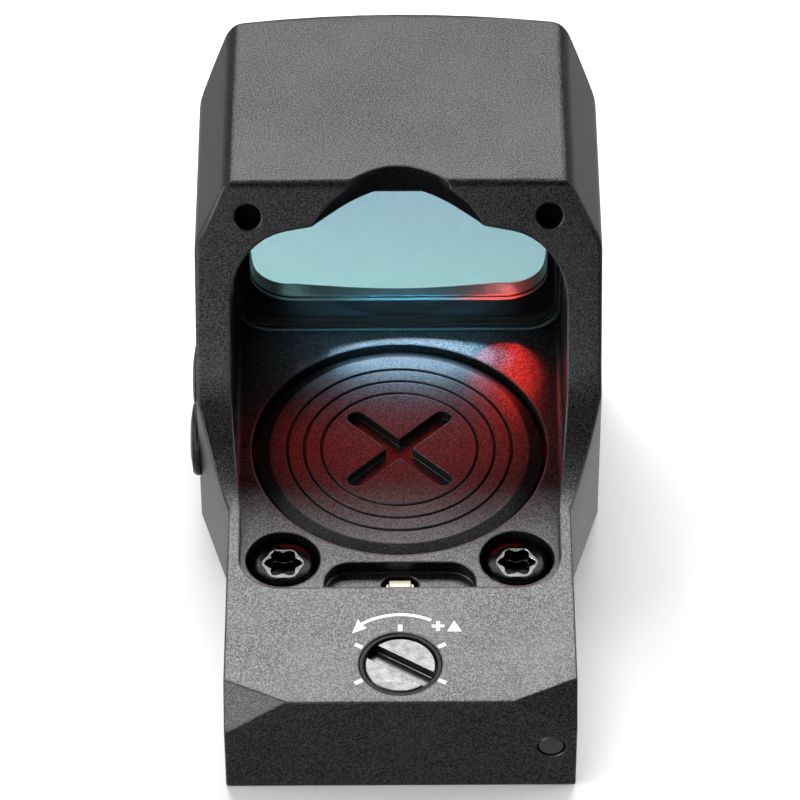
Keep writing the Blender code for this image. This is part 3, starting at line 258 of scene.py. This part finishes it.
def anodised(name, dark, light, roughness, grain, edge_radius, rings_round=None, hood_painted_shade=1.0):
    """Fine-blasted black anodised aluminium: sparkling grain, slow patches and paler edges, which are
    partly wear and partly a painted highlight.

    The grain is softer low down. rings_round is the centre of faint lathe rings, and the last argument is
    a painted shade: the factor that darkens the finish up on the hood.
    """
    surface = Surface(name, 0.85, roughness)
    fine = surface.noise(GRAIN_SIZE, 2.0, 0.5)
    slow = surface.noise(6.0 * MM, 2.0)
    rounded = surface.soft_edges(edge_radius)
    height = surface.split(surface.position)["Z"]
    least = surface.spread(height, DECK_TONE_Z, HOOD_TONE_Z, 0.15, 0.0)
    share = surface.math("MAXIMUM", surface.spread(fine, 0.42, 0.6, 0.0, 1.0), least)
    shade = surface.mix(share, dark, light)
    shade = surface.mix(surface.spread(slow, 0.3, 0.7, 0.0, 0.2), shade, light)
    # painted shade: the colour is scaled darker with height up on the hood, standing in for the dimmer
    # light there
    if hood_painted_shade < 1.0:
        shade = surface.scale(shade, surface.spread(height, DECK_TONE_Z, HOOD_TONE_Z, 1.0, hood_painted_shade))
    patchy = surface.spread(slow, 0.3, 0.6, 0.3, 0.7)
    # paler edges: partly wear, partly a painted highlight along the rounded edges
    edge_wear_and_highlight = surface.math("MULTIPLY", surface.edge_mask(rounded, 0.2), patchy)
    surface.colour(surface.mix(edge_wear_and_highlight, shade, tuple(2 * part for part in light)))
    surface.rough(surface.spread(fine, 0.3, 0.7, roughness - 0.07, roughness + 0.08))
    relief = fine
    if rings_round is not None:
        rings = surface.lathe_rings(rings_round)
        relief = surface.math("ADD", surface.math("MULTIPLY", rings, 0.2), fine)
    surface.bump(relief, grain, GRAIN_DEPTH, rounded)
    return surface.material


def faced_steel(name, dark, light, roughness, centre):
    """Bright steel faced on a lathe: fine rings round centre under a mottled finish, with pale edges that
    are partly wear and partly a painted highlight.
    """
    surface = Surface(name, 1.0, roughness)
    rings = surface.lathe_rings(centre)
    fine = surface.noise(GRAIN_SIZE, 3.0, 0.7)
    blotches = surface.noise(0.7 * MM, 4.0, 0.65)
    rounded = surface.soft_edges(0.08 * MM)
    shade = surface.mix(surface.spread(blotches, 0.38, 0.62, 0.0, 1.0), dark, light)
    # pale edges: partly wear, partly a painted highlight
    surface.colour(surface.mix(surface.edge_mask(rounded, 0.25), shade, (0.8, 0.8, 0.8)))
    surface.rough(surface.spread(fine, 0.3, 0.7, roughness - 0.06, roughness + 0.1))
    relief = surface.math("ADD", surface.math("MULTIPLY", rings, 0.25), fine)
    surface.bump(relief, 0.35, TOOLING_DEPTH, rounded)
    return surface.material


def blackened_steel(name, dark, light, roughness, socket=None):
    """Glossy black oxide on steel; the edges near a driver socket's centre carry a painted highlight."""
    surface = Surface(name, 1.0, roughness)
    fine = surface.noise(0.2 * MM, 3.0, 0.6)
    rounded = surface.soft_edges(0.14 * MM)
    shade = surface.mix(surface.spread(fine, 0.35, 0.65, 0.0, 1.0), dark, light)
    # painted highlight: edges near the driver socket are lightened towards pale steel
    if socket is not None:
        near = surface.spread(surface.radius_from(socket), HIGHLIGHT_FULL_RADIUS, HIGHLIGHT_END_RADIUS, 1.0, 0.0)
        socket_sheen = surface.math("MULTIPLY", surface.edge_mask(rounded, 0.15), near)
        shade = surface.mix(socket_sheen, shade, (0.9, 0.9, 0.91))
    surface.colour(shade)
    surface.rough(surface.spread(fine, 0.3, 0.7, roughness - 0.04, roughness + 0.08))
    surface.bump(fine, 0.3, TEXTURE_DEPTH, rounded)
    return surface.material


def plain_metal(name, dark, light, roughness):
    """Drawn or plated metal with faint streaks."""
    surface = Surface(name, 1.0, roughness)
    streaks = surface.noise(0.25 * MM, 3.0, 0.6, (1.0, 6.0, 1.0))
    surface.colour(surface.mix(surface.spread(streaks, 0.3, 0.7, 0.0, 1.0), dark, light))
    surface.rough(surface.spread(streaks, 0.3, 0.7, roughness - 0.05, roughness + 0.08))
    surface.bump(streaks, 0.15, TEXTURE_DEPTH, surface.soft_edges(0.04 * MM))
    return surface.material


def moulded(name, dark, light, roughness, grain_size=0.1 * MM, specular=0.5):
    """Moulded rubber, plastic or board with a slight texture."""
    surface = Surface(name, 0.0, roughness, specular)
    fine = surface.noise(grain_size, 3.0, 0.6)
    surface.colour(surface.mix(surface.spread(fine, 0.3, 0.7, 0.0, 1.0), dark, light))
    surface.rough(surface.spread(fine, 0.3, 0.7, roughness - 0.05, roughness + 0.06))
    surface.bump(fine, 0.2, TEXTURE_DEPTH, surface.soft_edges(0.04 * MM))
    return surface.material


def coated_glass(name, low_z, high_z, low_colour, high_colour):
    """Glass with a coating that passes cyan, deeper towards the top, and reflects red."""
    surface = Surface(name, 0.0, 0.0)
    surface.set("Transmission Weight", 1.0)
    surface.set("IOR", 1.5)
    surface.set("Specular Tint", (1.0, 0.35, 0.3))
    height = surface.split(surface.position)["Z"]
    rise = surface.spread(height, low_z, high_z, 0.0, 1.0)
    streaks = surface.noise(4.0 * MM, 1.0)
    tone = surface.math("ADD", rise, surface.spread(streaks, 0.3, 0.7, -0.04, 0.04))
    surface.colour(surface.mix(tone, low_colour, high_colour))
    return surface.material


# Shading of the CAD nodes


def smooth_group(name, sharp_degrees):
    """Geometry nodes that join the shading of faces meeting at less than an angle."""
    group = bpy.data.node_groups.new(name, "GeometryNodeTree")
    group.interface.new_socket("Geometry", in_out="INPUT", socket_type="NodeSocketGeometry")
    group.interface.new_socket("Geometry", in_out="OUTPUT", socket_type="NodeSocketGeometry")
    start = group.nodes.new("NodeGroupInput")
    weld = group.nodes.new("GeometryNodeMergeByDistance")
    weld.inputs["Distance"].default_value = WELD_DISTANCE
    angle = group.nodes.new("GeometryNodeInputMeshEdgeAngle")
    gentle = group.nodes.new("FunctionNodeCompare")
    gentle.data_type = "FLOAT"
    gentle.operation = "LESS_THAN"
    gentle.inputs["B"].default_value = math.radians(sharp_degrees)
    faces = group.nodes.new("GeometryNodeSetShadeSmooth")
    faces.domain = "FACE"
    edges = group.nodes.new("GeometryNodeSetShadeSmooth")
    edges.domain = "EDGE"
    end = group.nodes.new("NodeGroupOutput")
    group.links.new(start.outputs["Geometry"], weld.inputs["Geometry"])
    group.links.new(weld.outputs["Geometry"], faces.inputs["Geometry"])
    group.links.new(faces.outputs["Geometry"], edges.inputs["Geometry"])
    group.links.new(angle.outputs["Unsigned Angle"], gentle.inputs["A"])
    group.links.new(gentle.outputs["Result"], edges.inputs["Shade Smooth"])
    group.links.new(edges.outputs["Geometry"], end.inputs["Geometry"])
    return group


def smooth_nodes():
    """Shade the round stretches of every CAD node smooth and keep its flats flat."""
    group = smooth_group("smooth_round_stretches", SHARP_DEGREES)
    for node in nodes.values():
        normals = node.data.attributes.get("custom_normal")
        if normals is not None:
            node.data.attributes.remove(normals)
        modifier = node.modifiers.new("smooth", "NODES")
        modifier.node_group = group
        weighted = node.modifiers.new("flats", "WEIGHTED_NORMAL")
        weighted.keep_sharp = True


# Materials on the nodes


def paint(material, *names):
    for name in names:
        node = nodes[name]
        node.data.materials.clear()
        node.data.materials.append(material)


def top_centre(name):
    """The middle of the top of a node's box."""
    low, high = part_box(name)
    return ((low.x + high.x) / 2, (low.y + high.y) / 2, high.z)


def paint_housing():
    dark = (0.003, 0.0031, 0.0034)
    light = (0.069, 0.07, 0.073)
    # painted shade: up on the hood the housing's colour is darkened to 0.55
    black = anodised("housing_black", dark, light, 0.35, 1.0, 0.25 * MM, hood_painted_shade=0.55)
    paint(black, "housing")
    dark = (0.004, 0.004, 0.0043)
    light = (0.045, 0.045, 0.047)
    cover = anodised("cover_black", dark, light, 0.42, 0.8, 0.1 * MM)
    paint(cover, "bottom_plate", "brightness_up_button", "brightness_down_button")


def paint_cap():
    centre = top_centre("battery_cap")
    dark = (0.006, 0.0061, 0.0064)
    light = (0.055, 0.056, 0.058)
    paint(anodised("cap_black", dark, light, 0.38, 0.7, 0.1 * MM, centre), "battery_cap")


def paint_screws():
    plate_screws = [name for name in nodes if name.startswith("plate_screw")]
    centre = top_centre("elevation_screw")
    dark = (0.062, 0.062, 0.064)
    light = (0.1, 0.1, 0.1)
    silver = faced_steel("adjuster_silver", dark, light, 0.33, centre)
    paint(silver, "elevation_screw", "windage_screw")
    dark = (0.002, 0.0022, 0.0024)
    light = (0.008, 0.0085, 0.009)
    paint(blackened_steel("screw_black", dark, light, 0.16), "elevation_bushing", *plate_screws)
    for name in ("mounting_screw_left", "mounting_screw_right"):
        paint(blackened_steel(f"{name}_black", dark, light, 0.16, top_centre(name)), name)


def paint_glass():
    low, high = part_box("lens_rear_element")
    glass = coated_glass("lens_glass", low.z, high.z, (0.575, 0.735, 0.717), (0.5, 0.6, 0.652))
    paint(glass, "lens_rear_element", "lens_front_element")


def paint_hidden_parts():
    rings = [name for name in nodes if name.endswith("o_ring")]
    rubber = moulded("rubber_black", (0.008, 0.008, 0.009), (0.02, 0.02, 0.021), 0.65)
    paint(rubber, *rings)
    gasket = moulded("gasket_black", (0.006, 0.007, 0.009), (0.014, 0.015, 0.019), 0.5)
    paint(gasket, "lens_gasket", "base_gasket")
    plastic = moulded("plastic_black", (0.012, 0.012, 0.013), (0.03, 0.03, 0.032), 0.4)
    paint(plastic, "rear_plug", "control_chip")
    board = moulded("board_green", (0.01, 0.09, 0.035), (0.03, 0.2, 0.08), 0.4)
    paint(board, "circuit_board", "emitter_board")
    film = moulded("film_amber", (0.4, 0.16, 0.02), (0.62, 0.3, 0.06), 0.35)
    paint(film, "battery_insulator")
    cream = moulded("emitter_cream", (0.72, 0.66, 0.46), (0.92, 0.88, 0.72), 0.35)
    paint(cream, "led_emitter")
    steel = plain_metal("spring_steel", (0.4, 0.4, 0.41), (0.6, 0.6, 0.6), 0.3)
    springy = [name for name in nodes if name.endswith(("retaining_ring", "_spring"))]
    paint(steel, *[name for name in springy if "contact" not in name])
    brass = plain_metal("brass", (0.5, 0.35, 0.12), (0.75, 0.56, 0.25), 0.3)
    paint(brass, "battery_contact_spring", "battery_side_contact")
    paint(brass, "windage_stage", "elevation_stage")
    nickel = plain_metal("nickel", (0.5, 0.49, 0.45), (0.68, 0.66, 0.62), 0.25)
    paint(nickel, "brightness_up_switch", "brightness_down_switch", "battery_cell")


# Small pieces


def link_mesh(name, shape, material, body):
    """A piece from a bmesh, with its faces pointing out, that rides on a body."""
    bmesh.ops.recalc_face_normals(shape, faces=shape.faces)
    mesh = bpy.data.meshes.new(name)
    shape.to_mesh(mesh)
    shape.free()
    obj = bpy.data.objects.new(name, mesh)
    bpy.context.scene.collection.objects.link(obj)
    mesh.materials.append(material)
    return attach(obj, body)


def slab(shape, outline, low_z, high_z):
    """A flat outline given thickness, added to a bmesh."""
    low = [shape.verts.new((x, y, low_z)) for x, y in outline]
    high = [shape.verts.new((x, y, high_z)) for x, y in outline]
    shape.faces.new(low)
    shape.faces.new(high)
    for index in range(len(outline)):
        after = (index + 1) % len(outline)
        shape.faces.new((low[index], low[after], high[after], high[index]))


def skin(shape, rings):
    """Faces that join each closed ring of vertices to the next, and the last to the first."""
    for index, ring in enumerate(rings):
        following = rings[(index + 1) % len(rings)]
        for step, point in enumerate(ring):
            after = (step + 1) % len(ring)
            shape.faces.new((point, ring[after], following[after], following[step]))


def polar(radius, angle):
    return (radius * math.cos(angle), radius * math.sin(angle))


def arc_arrow():
    """The curved arrow: a thin arc with a long head at its counter-clockwise end."""
    steps = 24
    inner = []
    outer = []
    for step in range(steps + 1):
        angle = ARC_START + (ARC_END - ARC_START) * step / steps
        outer.append(polar(ARC_RADIUS + ARC_WIDTH / 2, angle))
        inner.append(polar(ARC_RADIUS - ARC_WIDTH / 2, angle))
    head = [
        polar(ARC_RADIUS + ARROW_HALF_WIDTH, ARC_END - math.radians(1)),
        polar(ARROW_TIP_RADIUS, ARROW_END),
        polar(ARC_RADIUS - ARROW_HALF_WIDTH, ARC_END - math.radians(1)),
    ]
    return outer + head + inner[::-1]


def tick(degrees):
    """One short radial line."""
    angle = math.radians(degrees)
    across = Vector(polar(TICK_WIDTH / 2, angle + math.pi / 2))
    start = Vector(polar(TICK_START, angle))
    end = Vector(polar(TICK_END, angle))
    return [tuple(start - across), tuple(end - across), tuple(end + across), tuple(start + across)]


def rise_symbols():
    """A plus sign and a triangle that points up, which stand for raising the dot."""
    half = SYMBOL_HEIGHT / 2
    low = SYMBOL_RISE - half
    high = SYMBOL_RISE + half
    x = SYMBOL_X + SYMBOL_STEP
    triangle = [(x - half, low), (x + half, low), (x, high)]
    arm = 0.14 * MM
    reach = 0.85 * half
    corner = [(arm, arm), (arm, reach), (-arm, reach), (-arm, arm), (-reach, arm), (-reach, -arm)]
    plus = corner + [(-u, -v) for u, v in corner]
    return [triangle, [(SYMBOL_X + u, SYMBOL_RISE + v) for u, v in plus]]


def make_printed_marks(ink):
    centre = Vector(top_centre("elevation_bushing"))
    low_z = centre.z + BUSHING_SINK + INK_GAP
    outlines = [arc_arrow()] + [tick(degrees) for degrees in TICK_DEGREES] + rise_symbols()
    shape = bmesh.new()
    for outline in outlines:
        moved = [(centre.x + x, centre.y + y) for x, y in outline]
        slab(shape, moved, low_z, low_z + INK_THICKNESS)
    return link_mesh("adjustment_marks", shape, ink, "housing")


def glass_outline():
    """The outline of the glass's rear face, its middle and the direction it faces."""
    shape = bmesh.new()
    shape.from_mesh(nodes["lens_rear_element"].data)
    bmesh.ops.remove_doubles(shape, verts=shape.verts, dist=WELD_DISTANCE)
    faces = [face for face in shape.faces if face.normal.y < -0.9]
    facing = faces[0].normal.copy()
    whole = bmesh.ops.dissolve_faces(shape, faces=faces)["region"][0]
    points = [vertex.co.copy() for vertex in whole.verts]
    shape.free()
    middle = sum(points, Vector()) / len(points)
    return points, middle, facing


def make_lens_sealant(material):
    """The bead of dark sealant between the glass's edge and the housing."""
    points, middle, facing = glass_outline()
    count = len(points)
    outward = []
    for index, point in enumerate(points):
        along = points[(index + 1) % count] - points[index - 1]
        side = along.cross(facing).normalized()
        if side.dot(point - middle) < 0:
            side.negate()
        outward.append(side)
    profile = (
        (0.0, 0.0),
        (BEAD_WIDTH / 2, -BEAD_CROWN),
        (BEAD_WIDTH, 0.0),
        (BEAD_WIDTH, BEAD_DEPTH),
        (0.0, BEAD_DEPTH),
    )
    shape = bmesh.new()
    rings = []
    for reach, depth in profile:
        ring = []
        for point, side in zip(points, outward):
            spot = point + side * (BEAD_CLEARANCE + reach) - facing * depth
            ring.append(shape.verts.new(spot))
        rings.append(ring)
    skin(shape, rings)
    return link_mesh("lens_sealant", shape, material, "housing")


def make_emitter_terminals(material):
    low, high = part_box("led_emitter")
    for name, side in (("emitter_terminal_left", -1), ("emitter_terminal_right", 1)):
        edge = high.x if side > 0 else low.x
        near = edge + side * TERMINAL_GAP
        far = near + side * TERMINAL_LENGTH
        outline = [
            (near, low.y + 0.15 * MM),
            (far, low.y + 0.3 * MM),
            (far, high.y - 0.3 * MM),
            (near, high.y - 0.15 * MM),
        ]
        shape = bmesh.new()
        slab(shape, outline, low.z, high.z - 0.12 * MM)
        edges = shape.edges[:]
        bmesh.ops.bevel(shape, geom=edges, offset=0.05 * MM, segments=2, affect="EDGES", profile=0.5)
        link_mesh(name, shape, material, "elevation_stage")


def make_socket_shade_cups(material):
    """A dark cup of painted shade in each blind socket of the hood's rear face."""
    whole_turn = 2 * math.pi
    lean = Matrix.Rotation(math.pi / 2 - SOCKET_LEAN, 4, "X")
    profile = (
        (0.0, -SOCKET_DEPTH),
        (SOCKET_RADIUS, -SOCKET_DEPTH),
        (SOCKET_RADIUS, -SOCKET_RIM),
        (SOCKET_RADIUS - SOCKET_WALL, -SOCKET_RIM),
        (SOCKET_RADIUS - SOCKET_WALL, SOCKET_WALL - SOCKET_DEPTH),
        (0.0, SOCKET_WALL - SOCKET_DEPTH),
    )
    for name, side in (("socket_shade_left", -1), ("socket_shade_right", 1)):
        spot = Matrix.Translation((side * SOCKET_PLACE.x, SOCKET_PLACE.y, SOCKET_PLACE.z))
        shape = bmesh.new()
        points = [shape.verts.new((radius, 0.0, height)) for radius, height in profile]
        edges = [shape.edges.new(pair) for pair in zip(points, points[1:])]
        line = points + edges
        middle = (0, 0, 0)
        bmesh.ops.spin(shape, geom=line, cent=middle, axis=(0, 0, 1), angle=whole_turn, steps=SOCKET_STEPS)
        bmesh.ops.remove_doubles(shape, verts=shape.verts, dist=0.001 * MM)
        bmesh.ops.recalc_face_normals(shape, faces=shape.faces)
        shape.transform(spot @ lean)
        link_mesh(name, shape, material, "housing")


def rim_reach(angle, outer):
    """How far the rim's inner or outer edge is from the socket's middle, in one direction."""
    wave = math.cos(DRIVER_LOBES * angle)
    if outer:
        return DRIVER_RADIUS * (0.95 + 0.05 * wave) + RIM_WIDTH * (1 - 0.7 * math.sin(angle))
    return DRIVER_RADIUS * (0.88 + 0.12 * wave) + RIM_INSET


def make_socket_rim_highlights(material):
    """A painted highlight: a bright rim round each mounting screw's driver socket, wider towards the eye.
    """
    screws = {"socket_rim_highlight_left": "mounting_screw_left", "socket_rim_highlight_right": "mounting_screw_right"}
    top = RIM_GAP + RIM_THICKNESS
    for name, screw in screws.items():
        centre = Vector(top_centre(screw))
        shape = bmesh.new()
        rings = []
        for outer, lift in ((False, RIM_GAP), (True, RIM_GAP), (True, top), (False, top)):
            ring = []
            for step in range(RIM_STEPS):
                angle = 2 * math.pi * step / RIM_STEPS
                spot = Vector((*polar(rim_reach(angle, outer), angle), lift))
                ring.append(shape.verts.new(centre + spot))
            rings.append(ring)
        skin(shape, rings)
        link_mesh(name, shape, material, "housing")


def make_small_pieces():
    ink = moulded("ink_white", (0.72, 0.72, 0.72), (0.9, 0.9, 0.9), 0.5, 0.06 * MM)
    make_printed_marks(ink)
    sealant = moulded("sealant_black", (0.002, 0.008, 0.011), (0.005, 0.02, 0.026), 0.4)
    make_lens_sealant(sealant)
    # painted shade: near-black with almost no gloss inside the hood's sockets
    shadow = moulded("socket_painted_shade", (0.001, 0.001, 0.0012), (0.002, 0.002, 0.0022), 0.6, specular=0.02)
    make_socket_shade_cups(shadow)
    # painted highlight for the rims round the driver sockets
    socket_sheen = plain_metal("painted_rim_highlight", (0.005, 0.005, 0.005), (0.15, 0.15, 0.15), 0.34)
    make_socket_rim_highlights(socket_sheen)
    gold = plain_metal("terminal_gold", (0.75, 0.5, 0.16), (0.95, 0.72, 0.32), 0.28)
    make_emitter_terminals(gold)


# Studio


def make_floor():
    surface = Surface("floor_white", 0.0, 0.8, 0.2)
    cloudy = surface.spread(surface.noise(60 * MM, 2.0), 0.3, 0.7, 0.0, 1.0)
    surface.colour(surface.mix(cloudy, (0.9, 0.9, 0.9), (0.92, 0.92, 0.92)))
    reach = 6.0
    shape = bmesh.new()
    corners = ((-reach, -reach), (reach, -reach), (reach, reach), (-reach, reach))
    shape.faces.new([shape.verts.new((x, y, 0.0)) for x, y in corners])
    mesh = bpy.data.meshes.new("floor")
    shape.to_mesh(mesh)
    shape.free()
    mesh.materials.append(surface.material)
    floor = bpy.data.objects.new("floor", mesh)
    bpy.context.scene.collection.objects.link(floor)
    floor.visible_glossy = False


def area_light(name, place, aim, size, power):
    """A flat white light that shows in gloss but neither directly nor through glass."""
    light = bpy.data.lights.new(name, "AREA")
    light.shape = "RECTANGLE"
    light.size, light.size_y = size
    light.energy = power
    lamp = bpy.data.objects.new(name, light)
    lamp.location = place
    lamp.rotation_euler = (Vector(aim) - Vector(place)).to_track_quat("-Z", "Y").to_euler()
    bpy.context.scene.collection.objects.link(lamp)
    lamp.visible_camera = False
    lamp.visible_transmission = False
    return light


def glow_light(name, place, aim, size, power, colour, spread):
    """A small coloured light with an oval face and a beam of so many degrees."""
    light = area_light(name, place, aim, size, power)
    light.shape = "ELLIPSE"
    light.color = colour
    light.spread = math.radians(spread)


def around(azimuth, elevation, distance):
    """A point on a sphere round the object; azimuth 0 is ahead of it and 90 to its right."""
    a = math.radians(azimuth)
    e = math.radians(elevation)
    level = distance * math.cos(e)
    return (level * math.sin(a), level * math.cos(a), distance * math.sin(e))


def make_studio_lights():
    middle = (0, 0, 10 * MM)
    softboxes = (
        ("key", (0, 50, 0.7), (0.55, 0.25), 6.2),
        ("overhead", (0, 84, 0.6), (0.4, 0.1), 0.12),
        ("rear_fill", (-160, 23, 0.6), (0.5, 0.25), 0.9),
        ("rear_left", (-137, 11, 0.6), (0.2, 0.2), 1.0),
        ("left", (-100, 35, 0.6), (0.3, 0.3), 2.0),
        ("right", (80, 30, 0.6), (0.25, 0.3), 1.0),
    )
    for name, direction, size, power in softboxes:
        area_light(name, around(*direction), middle, size, power)


def make_glow_bands():
    """The light that the coated glass throws back into the pocket."""
    middle, facing = glass_outline()[1:]
    bands = (
        ("strip_wide", 1.6, 8.6, (15.0, 3.0), 0.0001, GLOW_TEAL),
        ("strip_middle", 1.0, 8.4, (13.0, 2.6), 0.00019, GLOW_BLUE),
        ("strip_narrow", 0.8, 8.2, (10.0, 2.2), 0.00006, GLOW_GREY),
        ("cap_grey", 0.0, 10.4, (16.0, 2.0), 0.00006, GLOW_GREY),
        ("red_wide", 8.4, 9.4, (5.5, 5.0), 0.00014, GLOW_RED),
        ("red_narrow", 9.2, 9.6, (2.2, 5.4), 0.00006, GLOW_RED),
        ("red_band", 0.0, 15.0, (21.0, 7.5), 0.00032, GLOW_RED),
    )
    for name, x, z, (width, height), power, colour in bands:
        y = middle.y - facing.z * (z * MM - middle.z) / facing.y
        place = Vector((x * MM, y, z * MM)) + facing * height / 2 * MM
        aim = place + Vector((0, -1, -BAND_DIP))
        glow_light(name, place, aim, (width * MM, height * MM), power, colour, BAND_SPREAD)


def make_glow_rows():
    """The light that the coated glass throws on the sill ahead of it and on the frame below it."""
    low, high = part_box("lens_gasket")
    sill = Vector((0, high.y + 0.8 * MM, low.z + 2.1 * MM))
    frame_low = Vector((0, low.y, low.z))
    rows = (
        ("sill_teal", sill, 0.8, 1.6, 9.0, 0.0013, GLOW_TEAL),
        ("sill_red", sill, 7.8, 1.6, 5.0, 0.003, GLOW_RED),
        ("frame_teal", frame_low, 0.0, -6.0, 18.0, 0.0009, GLOW_TEAL),
    )
    for name, target, x, ahead, width, power, colour in rows:
        aim = target + Vector((x, 0, 0)) * MM
        place = aim + Vector((0, ahead, ROW_HEIGHT)) * MM
        glow_light(name, place, aim, (width * MM, ROW_DEPTH), power, colour, ROW_SPREAD)


def make_world():
    """A dim room: brighter ahead and low down, dark overhead and behind."""
    world = bpy.data.worlds.new("studio")
    world.use_nodes = True
    tree = world.node_tree
    background = tree.nodes["Background"]
    direction = tree.nodes.new("ShaderNodeTexCoord")
    parts = tree.nodes.new("ShaderNodeSeparateXYZ")
    tree.links.new(direction.outputs["Generated"], parts.inputs["Vector"])
    level = tree.nodes.new("ShaderNodeMath")
    level.operation = "MULTIPLY"
    slopes = (("Y", -0.3, 0.6, 0.4, 0.75), ("Z", 0.2, 0.7, 1.0, 0.15))
    for index, (axis, start, end, level_start, level_end) in enumerate(slopes):
        share = tree.nodes.new("ShaderNodeMapRange")
        tree.links.new(parts.outputs[axis], share.inputs["Value"])
        share.inputs["From Min"].default_value = start
        share.inputs["From Max"].default_value = end
        share.inputs["To Min"].default_value = level_start
        share.inputs["To Max"].default_value = level_end
        tree.links.new(share.outputs["Result"], level.inputs[index])
    tree.links.new(level.outputs["Value"], background.inputs["Strength"])
    background.inputs["Color"].default_value = (1.0, 1.0, 1.0, 1.0)
    bpy.context.scene.world = world


def make_camera():
    camera = bpy.data.cameras.new("camera")
    camera.lens = CAMERA_LENS
    camera.sensor_width = 36.0
    camera.clip_start = 0.01
    viewer = bpy.data.objects.new("camera", camera)
    turn = (CAMERA_AIM - CAMERA_PLACE).to_track_quat("-Z", "Y").to_matrix()
    roll = Matrix.Rotation(CAMERA_ROLL, 3, "Z")
    viewer.matrix_world = Matrix.Translation(CAMERA_PLACE) @ (turn @ roll).to_4x4()
    bpy.context.scene.collection.objects.link(viewer)
    bpy.context.scene.camera = viewer


smooth_nodes()
paint_housing()
paint_cap()
paint_screws()
paint_glass()
paint_hidden_parts()
make_small_pieces()
make_floor()
make_studio_lights()
make_glow_bands()
make_glow_rows()
make_world()
make_camera()
bpy.context.scene.view_settings.view_transform = "Standard"
